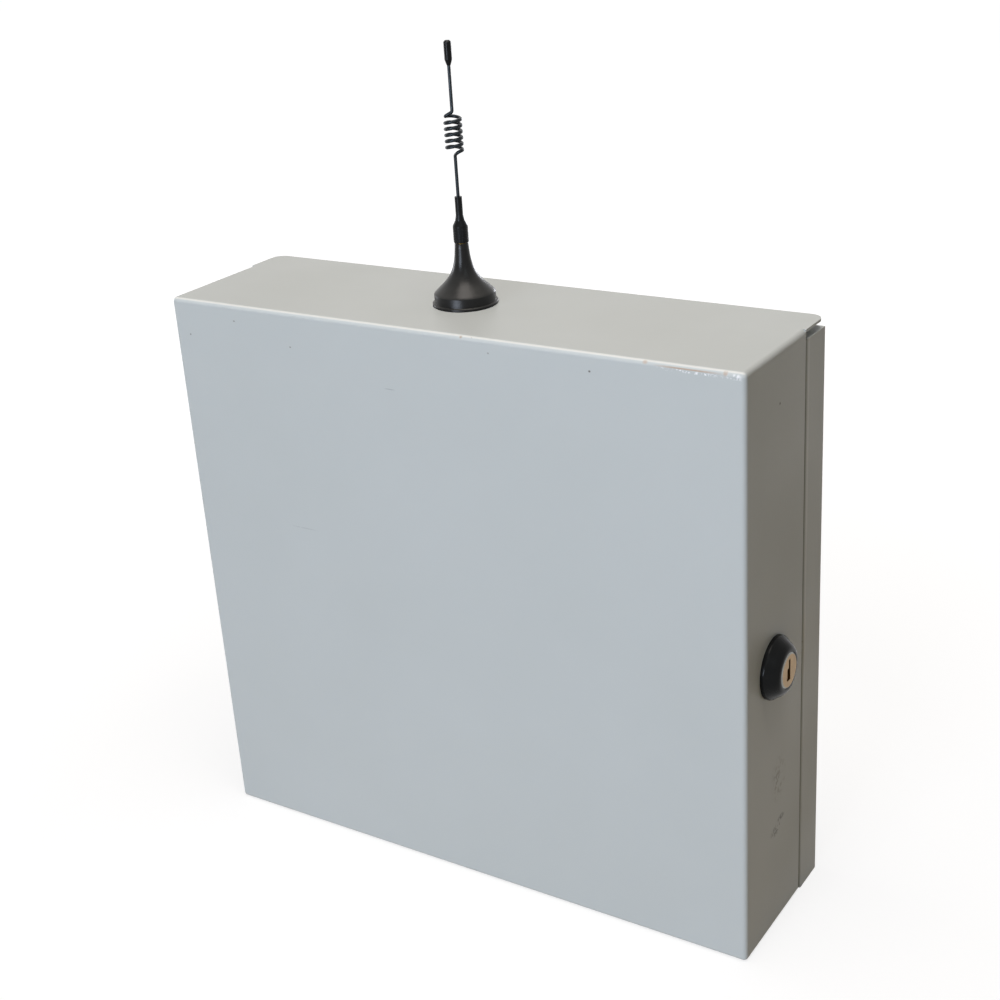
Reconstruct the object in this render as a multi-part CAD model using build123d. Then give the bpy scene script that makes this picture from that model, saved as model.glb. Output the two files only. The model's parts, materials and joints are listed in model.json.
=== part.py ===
"""Traffic signal controller: a lockable steel wall box with a magnet-foot antenna and its control gear.

Millimetres. X runs to the right, Y to the rear and Z up. The origin is on the standing face,
midway between the sides of the box and midway between its front face and its wall face.
"""
from build123d import *
import math
import os

# Box, folded from sheet steel
width = 296.0
height = 280.0
depth = 82.4
sheet = 1.2
bend_inside_radius = 1.0
cover_side_depth = 59.6
cover_gap = 0.9
hood_setback = 1.6
hood_corner_radius = 6.0
pan_drop = 4.6
lip_width = 12.0
mouth_corner_radius = 4.0
overrun = 2.0
fit = 0.05
seat_gap = 0.2

# Wall fixing holes and cable knock-outs of the pan
wall_hole_radius = 3.25
wall_hole_inset = 30.0
knockout_radius = 8.0
knockout_groove = 0.6
knockout_groove_depth = 0.5
knockout_pitch = 40.0
knockout_count = 3

# Butt hinges on the left side
hinge_length = 42.0
hinge_inset = 34.0
hinge_leaf = 1.1
hinge_leaf_width = 17.0
hinge_pin_radius = 1.25
hinge_knuckle_wall = 1.3
hinge_stand_off = 0.3
hinge_pin_overhang = 0.8
hinge_corner_radius = 3.0
hinge_knuckle_shares = (0.27, 0.73)

# Cam lock in the right side
lock_from_front = 28.2
lock_height = 138.0
shroud_radius = 14.5
shroud_rim = 1.9
shroud_front_radius = 10.4
shroud_height = 7.2
shroud_lip = 0.7
crown_radius_shares = (0.87, 0.56)
crown_height_shares = (0.22, 0.6)
lock_face_radius = 8.1
lock_face_thickness = 1.9
lock_face_proud = 0.25
lock_face_chamfer = 0.5
lock_body_radius = 6.0
lock_flat_width = 10.6
lock_inside = 13.2
lock_nut_across = 16.0
lock_nut_thickness = 3.0
plug_head_radius = 7.4
plug_head_thickness = 1.2
plug_radius = 4.4
plug_tang = 5.0
keyway_height = 9.9
keyway_rise = 0.6
keyway_stem_height = 7.4
keyway_width = 1.7
keyway_depth = 9.0
ward_width = 2.2
ward_height = 6.0
ward_depth = 0.6
ward_round = 1.6
cam_thickness = 1.8
cam_width = 10.0
cam_hub_radius = 7.0
cam_tip_length = 6.4
cam_clearance = 0.8
cam_screw_across = 7.0
cam_screw_height = 2.8

# Magnet-foot antenna on the hood
antenna_from_left = 140.3
antenna_from_front = 41.9
foot_radius = 14.85
foot_lip_height = 1.3
foot_wall_radius = 13.9
foot_wall_height = 5.4
foot_neck_radius = 3.1
foot_neck_height = 27.9
flare_radius_shares = (0.95, 0.702, 0.49, 0.354, 0.277)
flare_height_shares = (0.237, 0.341, 0.444, 0.559, 0.706)
magnet_radius = 11.5
magnet_thickness = 3.2
stud_radius = 1.5
stud_reach = 4.0
stud_collar = 0.35
stud_collar_radius = 2.2
ferrule_radius = 3.35
ferrule_grip = 7.3
ferrule_taper = 4.8
ferrule_sleeve = 8.1
ferrule_sleeve_radius = 1.65
whip_wire_radius = 0.75
whip_wire_sides = 8
whip_socket_depth = 6.0
coil_radius = 3.4
coil_pitch = 2.63
coil_half_turns = 11
coil_bend_radius = 1.25
crank_drop = 2.0
lower_rod_length = 20.2
upper_rod_length = 25.685
tip_radius = 1.65
tip_length = 10.4
tip_taper = 2.4
tip_round = 0.7
tip_socket_depth = 4.0

# Power supply, an open frame under a vented cover
supply_width = 82.0
supply_height = 99.0
supply_depth = 30.0
supply_from_left = 20.0
supply_from_base = 132.0
supply_wall = 1.0
supply_terminal_zone = 16.0
supply_slot_count = 9
supply_slot_width = 3.0
supply_slot_pitch = 7.0
supply_slot_margin = 12.0
supply_board_lift = 4.0
supply_board_thickness = 1.6
supply_board_margin = 1.5
supply_core_width = 34.0
supply_core_height = 30.0
supply_core_depth = 19.0
supply_terminal_depth = 14.0
supply_terminal_ways = 5
barrier_thickness = 1.4
barrier_floor_share = 0.55

# Mains inlet terminals and main switch
mains_block_ways = 3
mains_pitch = 14.0
mains_block_height = 20.0
mains_block_depth = 17.0
mains_from_left = 22.0
mains_from_base = 30.0
bracket_width = 30.0
bracket_height = 38.0
bracket_stand = 34.0
bracket_foot = 14.0
bracket_from_left = 24.0
bracket_from_base = 78.0
switch_body_width = 13.0
switch_body_height = 19.4
switch_body_depth = 14.0
switch_bezel = 1.5
switch_bezel_thickness = 1.6
switch_wall = 0.9
switch_well_depth = 8.4
rocker_clearance = 0.3
rocker_rise = 3.0
rocker_dip = 1.5
rocker_back = 2.4
rocker_pivot_depth = 3.6
rocker_pin_radius = 1.0
rocker_pin_reach = 0.6
rocker_tilt = 10.0

# Control board
board_thickness = 1.6
board_from_supply = 20.0
board_from_right = 26.0
board_from_base = 46.0
board_from_top = 39.4
board_corner_radius = 3.0
board_hole_inset = 5.0
board_hole_radius = 1.7
standoff_across = 5.5
standoff_height = 8.0
screw_head_radius = 2.9
screw_head_height = 2.0
relay_count = 6
relay_width = 15.5
relay_height = 19.2
relay_depth = 15.4
relay_edge = 0.9
relay_row_share = 0.205
lamp_ways = 8
lamp_screw_gap = 0.3
lamp_block_gap = 13.2
terminal_depth = 13.0
terminal_height = 16.0
terminal_step_share = 0.62
terminal_chamfer_shares = (0.24, 0.3)
terminal_entry = 3.8
terminal_entry_depth = 7.0
terminal_well = 3.8
terminal_well_depth = 6.0
terminal_row_share = 0.012
input_ways = 2
input_pitch = 7.4
input_place_shares = (0.13, 0.988)
driver_size = (23.0, 7.0, 3.6)
driver_shares = (0.3, 0.7)
driver_row_share = 0.335
processor_side = 20.0
processor_thickness = 1.8
processor_corner = 1.6
processor_place_shares = (0.5, 0.5)
light_size = (2.2, 3.4, 1.2)
light_row_share = 0.285
light_count = 6
button_shares = (0.76, 0.88)
button_row_share = 0.43
button_body_side = 6.2
button_body_height = 3.6
button_radius = 1.75
button_stand_out = 3.0
button_socket_depth = 2.4
button_travel = 0.3
battery_radius = 10.0
battery_thickness = 3.2
battery_holder_wall = 1.6
battery_holder_height = 4.6
battery_place_shares = (0.17, 0.5)
fuse_radius = 2.6
fuse_length = 20.0
fuse_holder_width = 8.6
fuse_holder_height = 8.0
fuse_holder_end = 4.5
fuse_place_shares = (0.13, 0.38)
capacitor_radius = 8.0
capacitor_height = 25.0
capacitor_edge = 0.9
capacitor_shares = (0.28, 0.42)
capacitor_row_share = 0.88
radio_width = 40.0
radio_height = 46.0
radio_lift = 4.0
radio_board_thickness = 1.2
radio_header_width = 2.6
radio_can_margin = 3.0
radio_can_height = 4.2
radio_can_edge = 0.8
radio_place_shares = (0.78, 0.78)
socket_radius = 3.1
socket_length = 9.0
socket_bore_radius = 2.1
socket_bore_depth = 5.0
socket_flange = 7.0
socket_flange_thickness = 1.6

# Earth stud of the pan
earth_from_left = 120.0
earth_from_base = 24.0
earth_stud_radius = 2.5
earth_stud_length = 16.0
earth_nut_across = 8.0
earth_nut_thickness = 4.0

# Places and faces that the sizes above give
bend_radius = bend_inside_radius + sheet
left_x = -width / 2
right_x = width / 2
front_y = -depth / 2
rear_y = depth / 2
cover_edge_y = front_y + cover_side_depth
pan_front_y = cover_edge_y + cover_gap
hood_rear_y = rear_y - hood_setback
pan_top = height - pan_drop
wall_y = rear_y - sheet
hinge_bore_radius = hinge_pin_radius + fit
hinge_knuckle_radius = hinge_bore_radius + hinge_knuckle_wall
hinge_x = left_x - hinge_stand_off - hinge_knuckle_radius
hinge_y = cover_edge_y + cover_gap / 2
hinge_upper_z = height - hinge_inset - hinge_length
hinge_lower_z = hinge_inset
lock_y = front_y + lock_from_front
lock_top = shroud_height + lock_face_proud
cam_outer = -(lock_inside + seat_gap)
cam_reach = pan_front_y + sheet + cam_clearance + cam_thickness - lock_y
antenna_x = left_x + antenna_from_left
antenna_y = front_y + antenna_from_front
supply_left = left_x + supply_from_left
supply_front_y = wall_y - supply_depth
board_left = supply_left + supply_width + board_from_supply
board_width = right_x - board_from_right - board_left
board_height = pan_top - board_from_top - board_from_base
lamp_margin = board_hole_inset + screw_head_radius + lamp_screw_gap
lamp_length = (board_width - lamp_margin * 2 - lamp_block_gap) / 2
board_back_y = wall_y - standoff_height
board_y = board_back_y - board_thickness


def span(x, y, z):
    """A block between two corners, given as (low, high) along each axis."""
    middle = Pos((x[0] + x[1]) / 2, (y[0] + y[1]) / 2, (z[0] + z[1]) / 2)
    return middle * Box(x[1] - x[0], y[1] - y[0], z[1] - z[0])


def rod(radius, start, end):
    """A round bar from one point to another."""
    way = Vector(*end) - Vector(*start)
    plane = Plane(origin=start, z_dir=way)
    return plane * Cylinder(radius, way.length, align=(Align.CENTER, Align.CENTER, Align.MIN))


def hexagon(across, low, high):
    """A hexagonal bar on the Z axis, by its width across flats."""
    return Pos(0, 0, low) * extrude(RegularPolygon(across / 2, 6, major_radius=False), high - low)


def turned(*lines):
    """A solid turned about Z from the lines of a half section, given as radius and height."""
    edges = [edge for line in lines for edge in line.edges()]
    return revolve(Plane.XZ * make_face(edges), Axis.Z)


def grown(pair, margin):
    """A (low, high) pair widened by a margin at both ends."""
    return (pair[0] - margin, pair[1] + margin)


def bent(block, radius, ends, corners):
    """A block with the bends of its front or rear face rounded, and its corners along Y if asked."""
    edges = block.edges().filter_by(Axis.Y) if corners else ShapeList()
    for end in ends:
        edges += block.faces().sort_by(Axis.Y)[end].edges()
    return fillet(edges, radius)


def on_lock(shape):
    """Places a piece made on the Z axis on the lock's axis, with its +Z pointing out of the side."""
    return Pos(right_x, lock_y, lock_height) * Rot(0, 90, 0) * shape


def on_hood(shape):
    """Places a piece made on the Z axis at the antenna's place on the hood."""
    return Pos(antenna_x, antenna_y, height) * shape


def on_board(shares):
    """X and Z of a place on the control board, given as shares of its width and height."""
    return board_left + shares[0] * board_width, board_from_base + shares[1] * board_height


def centred(centre, size):
    """The (low, high) pair of a size about a centre."""
    return (centre - size / 2, centre + size / 2)


# Cover and pan


def front_cover():
    """Front, sides and foot folded as one tub, with the hood running on over the pan."""
    x, y, z = (left_x, right_x), (front_y, cover_edge_y), (0, height)
    hollow_y = (front_y + sheet, cover_edge_y + overrun)
    hollow = span(grown(x, -sheet), hollow_y, grown(z, -sheet))
    tub = bent(span(x, y, z), bend_radius, [0], True)
    tub -= bent(hollow, bend_inside_radius, [0], False)
    hood = span(x, (cover_edge_y, hood_rear_y), (height - sheet, height))
    hood = fillet(hood.edges().filter_by(Axis.Z).sort_by(Axis.Y)[-2:], hood_corner_radius)
    side = (right_x - sheet - overrun, right_x + overrun)
    hole = rod(lock_body_radius + fit, (side[0], lock_y, lock_height), (side[1], lock_y, lock_height))
    flats = centred(lock_y, lock_flat_width + fit + fit)
    hole &= span(side, flats, centred(lock_height, lock_face_radius * 2))
    return tub + hood - hole


def cam_notch():
    """The gap in the right lip that lets the cam's bent tip swing in behind the lip."""
    lip_distance = pan_front_y - lock_y
    corner = math.hypot(cam_reach, cam_width / 2)
    top = math.sqrt(corner**2 - lip_distance**2) + cam_clearance
    inner_edge = right_x - lip_width
    outer_edge = right_x + cam_outer + cam_tip_length + cam_clearance
    return span(
        (inner_edge - overrun, outer_edge),
        grown((pan_front_y, pan_front_y + sheet), overrun),
        (lock_height + cam_width / 2 + cam_clearance, lock_height + top),
    )


def rear_pan():
    """Shallow tray with a lip turned inwards all round its mouth."""
    x, y, z = (left_x, right_x), (pan_front_y, rear_y), (0, pan_top)
    hollow = span(grown(x, -sheet), grown(y, -sheet), grown(z, -sheet))
    tray = bent(span(x, y, z), bend_radius, [0, -1], False)
    tray -= bent(hollow, bend_inside_radius, [0, -1], False)
    lip_y = (pan_front_y - overrun, pan_front_y + sheet + overrun)
    mouth = span(grown(x, -lip_width), lip_y, grown(z, -lip_width))
    tray -= fillet(mouth.edges().filter_by(Axis.Y), mouth_corner_radius)
    tray -= cam_notch()
    for hole_x in grown(x, -wall_hole_inset):
        for hole_z in grown(z, -wall_hole_inset):
            inner, outer = (hole_x, wall_y - overrun, hole_z), (hole_x, rear_y + overrun, hole_z)
            tray -= rod(wall_hole_radius, inner, outer)
    middle_y = (pan_front_y + rear_y) / 2
    for index in range(knockout_count):
        centre_x = (index - (knockout_count - 1) / 2) * knockout_pitch
        foot, top = (centre_x, middle_y, -overrun), (centre_x, middle_y, knockout_groove_depth)
        tray -= rod(knockout_radius + knockout_groove, foot, top) - rod(knockout_radius, foot, top)
    return tray


# Hinges


def knuckle_spans(low_z):
    """The (low, high) heights of the three knuckles of a hinge, lowest first."""
    cuts = [low_z + share * hinge_length for share in hinge_knuckle_shares]
    half = seat_gap / 2
    ends = (low_z, low_z + hinge_length)
    return [(ends[0], cuts[0] - half), (cuts[0] + half, cuts[1] - half), (cuts[1] + half, ends[1])]


def hinge_leaf_plate(low_z, side, knuckles):
    """One leaf of a butt hinge: side is +1 on the pan and -1 on the cover."""
    x = (left_x - hinge_leaf, left_x)
    near = hinge_y + side * (hinge_knuckle_radius + hinge_stand_off)
    far = hinge_y + side * (hinge_knuckle_radius + hinge_leaf_width)
    leaf = span(x, sorted((near, far)), (low_z, low_z + hinge_length))
    corners = leaf.edges().filter_by(Axis.X).sort_by(Axis.Y, reverse=side > 0)[:2]
    leaf = fillet(corners, hinge_corner_radius)
    for low, high in knuckles:
        leaf += span(x, sorted((hinge_y, near)), (low, high))
        leaf += rod(hinge_knuckle_radius, (hinge_x, hinge_y, low), (hinge_x, hinge_y, high))
    bore_low, bore_high = grown((low_z, low_z + hinge_length), overrun)
    return leaf - rod(hinge_bore_radius, (hinge_x, hinge_y, bore_low), (hinge_x, hinge_y, bore_high))


def hinge_pin(low_z):
    """Plain pin with a little of each end standing out of its knuckle."""
    low, high = grown((low_z, low_z + hinge_length), hinge_pin_overhang)
    pin = rod(hinge_pin_radius, (hinge_x, hinge_y, low), (hinge_x, hinge_y, high))
    return chamfer(pin.edges().filter_by(GeomType.CIRCLE), hinge_pin_overhang / 2)


# Cam lock


def lock_shroud():
    """Black moulded trim ring, a rounded cone with a seat for the lock's face."""
    bore = lock_body_radius + fit
    seat = shroud_height - lock_face_thickness
    well = lock_face_radius + fit
    shoulder = shroud_height - shroud_lip
    rim = (shroud_radius, shroud_rim)
    brow = (shroud_front_radius, shoulder)
    brim = (shroud_front_radius - shroud_lip, shroud_height)
    slope = shroud_radius - shroud_front_radius
    rise = shoulder - shroud_rim
    crown = [
        (shroud_front_radius + radius_share * slope, shroud_rim + height_share * rise)
        for radius_share, height_share in zip(crown_radius_shares, crown_height_shares)
    ]
    return on_lock(
        turned(
            Polyline((well, shroud_height), (well, seat), (bore, seat), (bore, 0), (shroud_radius, 0)),
            Polyline((shroud_radius, 0), rim, *crown, brow, brim, (well, shroud_height)),
        )
    )


def lock_barrel():
    """Plated housing: a round face, a flatted body and the bores that the plug turns in."""
    seat = shroud_height - lock_face_thickness
    face = rod(lock_face_radius, (0, 0, seat), (0, 0, lock_top))
    face = chamfer(face.edges().sort_by(Axis.Z)[-1], lock_face_chamfer)
    body = rod(lock_body_radius, (0, 0, -lock_inside), (0, 0, seat))
    across = centred(0, lock_flat_width)
    body &= span(grown((0, 0), lock_face_radius), across, (-lock_inside, seat))
    plug_seat = lock_top - plug_head_thickness - fit
    bore = rod(plug_radius + fit, (0, 0, -lock_inside - overrun), (0, 0, lock_top + overrun))
    counterbore = rod(plug_head_radius + fit, (0, 0, plug_seat), (0, 0, lock_top + overrun))
    return on_lock(face + body - bore - counterbore)


def lock_plug():
    """Turning core with its head in the face, a keyway with a shallow ward and a square tang for the cam."""
    head_low = lock_top - plug_head_thickness
    plug = rod(plug_head_radius, (0, 0, head_low), (0, 0, lock_top))
    plug += rod(plug_radius, (0, 0, cam_outer), (0, 0, head_low))
    side = centred(0, plug_tang)
    plug += span(side, side, (cam_outer - cam_thickness, cam_outer))
    slot = centred(0, keyway_width)
    keyway = centred(-keyway_rise, keyway_height)
    plug -= span(keyway, slot, (head_low, lock_top + overrun))
    plug -= span(centred(0, keyway_stem_height), slot, (lock_top - keyway_depth, lock_top + overrun))
    ward_x, ward_y = (keyway[1] - ward_height, keyway[1]), (slot[0] - ward_width, slot[1])
    ward = span(ward_x, ward_y, (lock_top - ward_depth, lock_top + overrun))
    return on_lock(plug - fillet(ward.edges().filter_by(Axis.Z).sort_by(Axis.Y)[:2], ward_round))


def lock_nut():
    """Hexagon nut that clamps the lock from inside."""
    nut = hexagon(lock_nut_across, -sheet - lock_nut_thickness, -sheet)
    bore = rod(lock_body_radius + fit, (0, 0, -sheet - lock_nut_thickness - overrun), (0, 0, overrun))
    return on_lock(nut - bore)


def lock_cam():
    """Flat steel cam whose tip is bent out towards the side, standing up when the lock is open."""
    low = cam_outer - cam_thickness
    cam = rod(cam_hub_radius, (0, 0, low), (0, 0, cam_outer))
    cam += span((-cam_reach, 0), centred(0, cam_width), (low, cam_outer))
    tip_x = (-cam_reach, cam_thickness - cam_reach)
    cam += span(tip_x, centred(0, cam_width), (low, cam_outer + cam_tip_length))
    hole = centred(0, plug_tang + fit + fit)
    return on_lock(cam - span(hole, hole, (low - overrun, cam_outer + overrun)))


def cam_screw():
    """Hexagon head that holds the cam on the plug's tang."""
    low = cam_outer - cam_thickness
    return on_lock(hexagon(cam_screw_across, low - cam_screw_height, low))


# Antenna


def antenna_foot():
    """Black moulded foot: a low drum that flares up into a slim neck."""
    recess = magnet_radius + seat_gap
    recess_top = magnet_thickness + seat_gap
    flare = [
        (radius_share * foot_wall_radius, height_share * foot_neck_height)
        for radius_share, height_share in zip(flare_radius_shares, flare_height_shares)
    ]
    wall_top = (foot_wall_radius, foot_wall_height)
    neck = (foot_neck_radius, foot_neck_height)
    neck_low = foot_neck_height - stud_reach
    socket = stud_radius + fit
    return on_hood(
        turned(
            Polyline((0, neck_low), (0, recess_top), (recess, recess_top), (recess, 0), (foot_radius, 0)),
            Polyline((foot_radius, 0), (foot_radius, foot_lip_height), (foot_wall_radius, foot_lip_height)),
            Polyline((foot_wall_radius, foot_lip_height), wall_top, *flare, neck),
            Polyline(neck, (socket, foot_neck_height), (socket, neck_low), (0, neck_low)),
        )
    )


def antenna_magnet():
    """Disc magnet in the foot's recess, flat on the hood."""
    return on_hood(rod(magnet_radius, (0, 0, 0), (0, 0, magnet_thickness)))


def antenna_stud():
    """Brass stud between foot and ferrule, with a thin collar that glints in the gap."""
    collar_top = foot_neck_height + stud_collar
    stud = rod(stud_radius, (0, 0, foot_neck_height - stud_reach), (0, 0, collar_top + stud_reach))
    return on_hood(stud + rod(stud_collar_radius, (0, 0, foot_neck_height), (0, 0, collar_top)))


def ferrule_levels():
    """Heights of the ferrule's foot, the top of its grip, the top of its taper and its end."""
    foot = foot_neck_height + stud_collar
    grip = foot + ferrule_grip
    taper = grip + ferrule_taper
    return foot, grip, taper, taper + ferrule_sleeve


def antenna_ferrule():
    """Black grip screwed on the stud, drawn in to the sleeve that holds the whip."""
    foot, grip, taper, end = ferrule_levels()
    socket = stud_radius + fit
    bore = whip_wire_radius + fit
    socket_top = foot + stud_reach
    whip_foot = end - whip_socket_depth
    waist = ((ferrule_radius + ferrule_sleeve_radius) / 2 - whip_wire_radius / 2, (grip + taper) / 2)
    return on_hood(
        turned(
            Polyline((0, socket_top), (socket, socket_top), (socket, foot), (ferrule_radius, foot)),
            Polyline((ferrule_radius, foot), (ferrule_radius, grip), waist, (ferrule_sleeve_radius, taper)),
            Polyline((ferrule_sleeve_radius, taper), (ferrule_sleeve_radius, end), (bore, end)),
            Polyline((bore, end), (bore, whip_foot), (0, whip_foot), (0, socket_top)),
        )
    )


def whip_heights():
    """Heights of the whip's foot, the coil's ends and the whip's top."""
    sleeve_end = ferrule_levels()[-1]
    coil_low = sleeve_end + lower_rod_length
    coil_high = coil_low + coil_half_turns * coil_pitch / 2
    return sleeve_end - whip_socket_depth, coil_low, coil_high, coil_high + upper_rod_length


def crank(level, side, rise):
    """The slanted bend from the whip's axis out to the coil at a level.

    side is the coil's end, +1 or -1 along X, and rise is -1 for the lower rod and +1 for the upper one.
    """
    knee = Vector(0, 0, level + rise * crank_drop)
    coil_end = Vector(side * coil_radius, 0, level)
    outward = (coil_end - knee).normalized()
    across = Vector(0, rise * side, 0)
    upright = Vector(0, 0, rise)
    centre = (coil_end - knee).length - coil_bend_radius
    turn = math.asin(coil_bend_radius / centre)
    way = outward * math.cos(turn) + across * math.sin(turn)
    half_bend = math.acos(-way.dot(upright)) / 2
    cut_back = coil_bend_radius * math.tan(half_bend)
    sag = coil_bend_radius / math.cos(half_bend) - coil_bend_radius
    bend_middle = knee + (way + upright).normalized() * sag
    tangent_point = knee + way * (centre * math.cos(turn))
    middle_turn = (turn - math.pi / 2) / 2
    middle_reach = centre + coil_bend_radius * math.cos(middle_turn)
    turn_middle = knee + outward * middle_reach - across * (coil_bend_radius * math.sin(middle_turn))
    return [
        ThreePointArc(knee + upright * cut_back, bend_middle, knee + way * cut_back),
        Line(knee + way * cut_back, tangent_point),
        ThreePointArc(tangent_point, turn_middle, coil_end),
    ]


def whip_path():
    """The wire's line: a rod, a close coil of tangent half turns, and a rod again."""
    low, coil_low, coil_high, high = whip_heights()
    end_side = 1 if coil_half_turns % 2 == 0 else -1
    lower, upper = crank(coil_low, 1, -1), crank(coil_high, end_side, 1)
    path = [Line((0, 0, low), lower[0] @ 0), *lower]
    for index in range(coil_half_turns):
        side = 1 if index % 2 == 0 else -1
        level = coil_low + index * coil_pitch / 2
        climb = coil_pitch / 2
        radius = math.hypot(coil_radius, climb / 2)
        path.append(
            ThreePointArc(
                (side * coil_radius, 0, level),
                (0, side * radius, level + climb / 2),
                (-side * coil_radius, 0, level + climb),
            )
        )
    return [*path, *upper[::-1], Line(upper[0] @ 0, (0, 0, high))]


def antenna_whip():
    """One length of spring wire, coiled half way up."""
    path = Wire(whip_path())
    start = Vector(0, 0, whip_heights()[0])
    section = RegularPolygon(whip_wire_radius, whip_wire_sides)
    return on_hood(sweep(Plane(origin=start, z_dir=(0, 0, 1)) * section, path=path))


def antenna_tip():
    """Black cap over the whip's end, tapered below and bevelled above."""
    top_of_wire = whip_heights()[-1]
    low = top_of_wire - tip_socket_depth
    high = low + tip_length
    bore = whip_wire_radius + fit
    shoulder = (tip_radius, high - tip_round)
    brim = (tip_radius - tip_round, high)
    return on_hood(
        turned(
            Polyline((0, top_of_wire), (bore, top_of_wire), (bore, low), (bore + fit, low)),
            Polyline((bore + fit, low), (tip_radius, low + tip_taper), shoulder, brim, (0, high)),
            Line((0, high), (0, top_of_wire)),
        )
    )


# Power supply


def supply_spans():
    """The power supply's (low, high) pairs along X, Y and Z."""
    return (
        (supply_left, supply_left + supply_width),
        (supply_front_y, wall_y),
        (supply_from_base, supply_from_base + supply_height),
    )


def supply_chassis():
    """Sheet trough against the wall, open in front and at its lower end."""
    x, y, z = supply_spans()
    inner_z = (z[0] - overrun, z[1] - supply_wall)
    return span(x, y, z) - span(grown(x, -supply_wall), (y[0] - overrun, y[1] - supply_wall), inner_z)


def supply_cover():
    """Vented lid set into the trough, clear of the terminals at its lower end."""
    x, y, z = supply_spans()
    lid_x = grown(x, -supply_wall)
    lid_z = (z[0] + supply_terminal_zone, z[1] - supply_wall)
    lid = span(lid_x, (y[0], y[0] + supply_wall), lid_z)
    slot_z = grown(lid_z, -supply_slot_margin)
    first = (x[0] + x[1]) / 2 - (supply_slot_count - 1) * supply_slot_pitch / 2
    for index in range(supply_slot_count):
        slot_x = centred(first + index * supply_slot_pitch, supply_slot_width)
        lid -= span(slot_x, grown((y[0], y[0] + supply_wall), overrun), slot_z)
    return lid


def supply_board():
    """Circuit board of the power supply on two ribs pressed up from the trough."""
    x, y, z = supply_spans()
    floor = y[1] - supply_wall
    back = floor - supply_board_lift
    margin = supply_wall + supply_board_margin
    board_x = grown(x, -margin)
    board = span(board_x, (back - supply_board_thickness, back), grown(z, -margin))
    for rib_z in (z[0] + supply_terminal_zone, z[1] - supply_terminal_zone):
        board += span(board_x, (back, floor), centred(rib_z, supply_board_lift))
    return board


def supply_transformer():
    """Ferrite core and winding of the power supply, seen through the vents."""
    x, y, z = supply_spans()
    board_face = y[1] - supply_wall - supply_board_lift - supply_board_thickness
    centre_x, centre_z = sum(x) / 2, sum(z) / 2
    core_y = (board_face - supply_core_depth, board_face)
    core = span(centred(centre_x, supply_core_width), core_y, centred(centre_z, supply_core_height))
    return chamfer(core.edges().filter_by(Axis.Y), supply_wall)


def barrier_strip(x, y, z, ways):
    """Terminal strip with upright barriers between its ways, facing the front."""
    floor = y[1] - (y[1] - y[0]) * barrier_floor_share
    strip = span(x, (floor, y[1]), z)
    pitch = (x[1] - x[0] - barrier_thickness) / ways
    for index in range(ways + 1):
        low = x[0] + index * pitch
        strip += span((low, low + barrier_thickness), y, z)
    return strip


def supply_terminals():
    """Terminal strip at the lower end of the power supply."""
    x, y, z = supply_spans()
    board_face = y[1] - supply_wall - supply_board_lift - supply_board_thickness
    margin = supply_wall + supply_board_margin
    strip_z = (z[0] + margin, z[0] + supply_terminal_zone - seat_gap)
    strip_y = (board_face - supply_terminal_depth, board_face)
    return barrier_strip(grown(x, -margin), strip_y, strip_z, supply_terminal_ways)


# Mains inlet and main switch


def mains_block():
    """Inlet terminals for live, neutral and earth, on the pan's rear wall."""
    low_x = left_x + mains_from_left
    x = (low_x, low_x + mains_block_ways * mains_pitch + barrier_thickness)
    z = (mains_from_base, mains_from_base + mains_block_height)
    return barrier_strip(x, (wall_y - mains_block_depth, wall_y), z, mains_block_ways)


def bracket_place():
    """X and Z pairs of the switch bracket, and the Y of its front face."""
    low_x = left_x + bracket_from_left
    x = (low_x, low_x + bracket_width)
    z = (bracket_from_base, bracket_from_base + bracket_height)
    return x, z, wall_y - bracket_stand


def switch_bracket():
    """Folded bracket: two feet on the wall, two uprights and a plate with the switch cut-out."""
    x, z, face_y = bracket_place()
    bracket = span(x, (face_y, wall_y), z)
    bracket -= span(grown(x, overrun), (face_y + sheet, wall_y + overrun), grown(z, -sheet))
    for foot_z in ((z[1], z[1] + bracket_foot), (z[0] - bracket_foot, z[0])):
        bracket += span(x, (wall_y - sheet, wall_y), foot_z)
    cut_x = centred(sum(x) / 2, switch_body_width + fit + fit)
    cut_z = centred(sum(z) / 2, switch_body_height + fit + fit)
    return bracket - span(cut_x, grown((face_y, face_y + sheet), overrun), cut_z)


def switch_body():
    """Snap-in switch housing with a bezel and the well that the rocker tips in."""
    x, z, face_y = bracket_place()
    body_x = centred(sum(x) / 2, switch_body_width)
    body_z = centred(sum(z) / 2, switch_body_height)
    bezel_y = (face_y - switch_bezel_thickness, face_y)
    body = span(body_x, (face_y - switch_bezel_thickness, face_y + switch_body_depth), body_z)
    body += span(grown(body_x, switch_bezel), bezel_y, grown(body_z, switch_bezel))
    well_y = (bezel_y[0] - overrun, bezel_y[0] + switch_well_depth)
    body -= span(grown(body_x, -switch_wall), well_y, grown(body_z, -switch_wall))
    return body - pivot_rod(rocker_pin_radius + fit, switch_body_width / 2 + overrun)


def rocker_pivot():
    """Y and Z of the rocker's pivot."""
    _, z, face_y = bracket_place()
    return face_y - switch_bezel_thickness + rocker_pivot_depth, sum(z) / 2


def pivot_rod(radius, reach):
    """A round bar on the rocker's pivot, reaching equally to both sides."""
    x, _, _ = bracket_place()
    pivot_y, pivot_z = rocker_pivot()
    low, high = grown((sum(x) / 2, sum(x) / 2), reach)
    return rod(radius, (low, pivot_y, pivot_z), (high, pivot_y, pivot_z))


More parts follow.
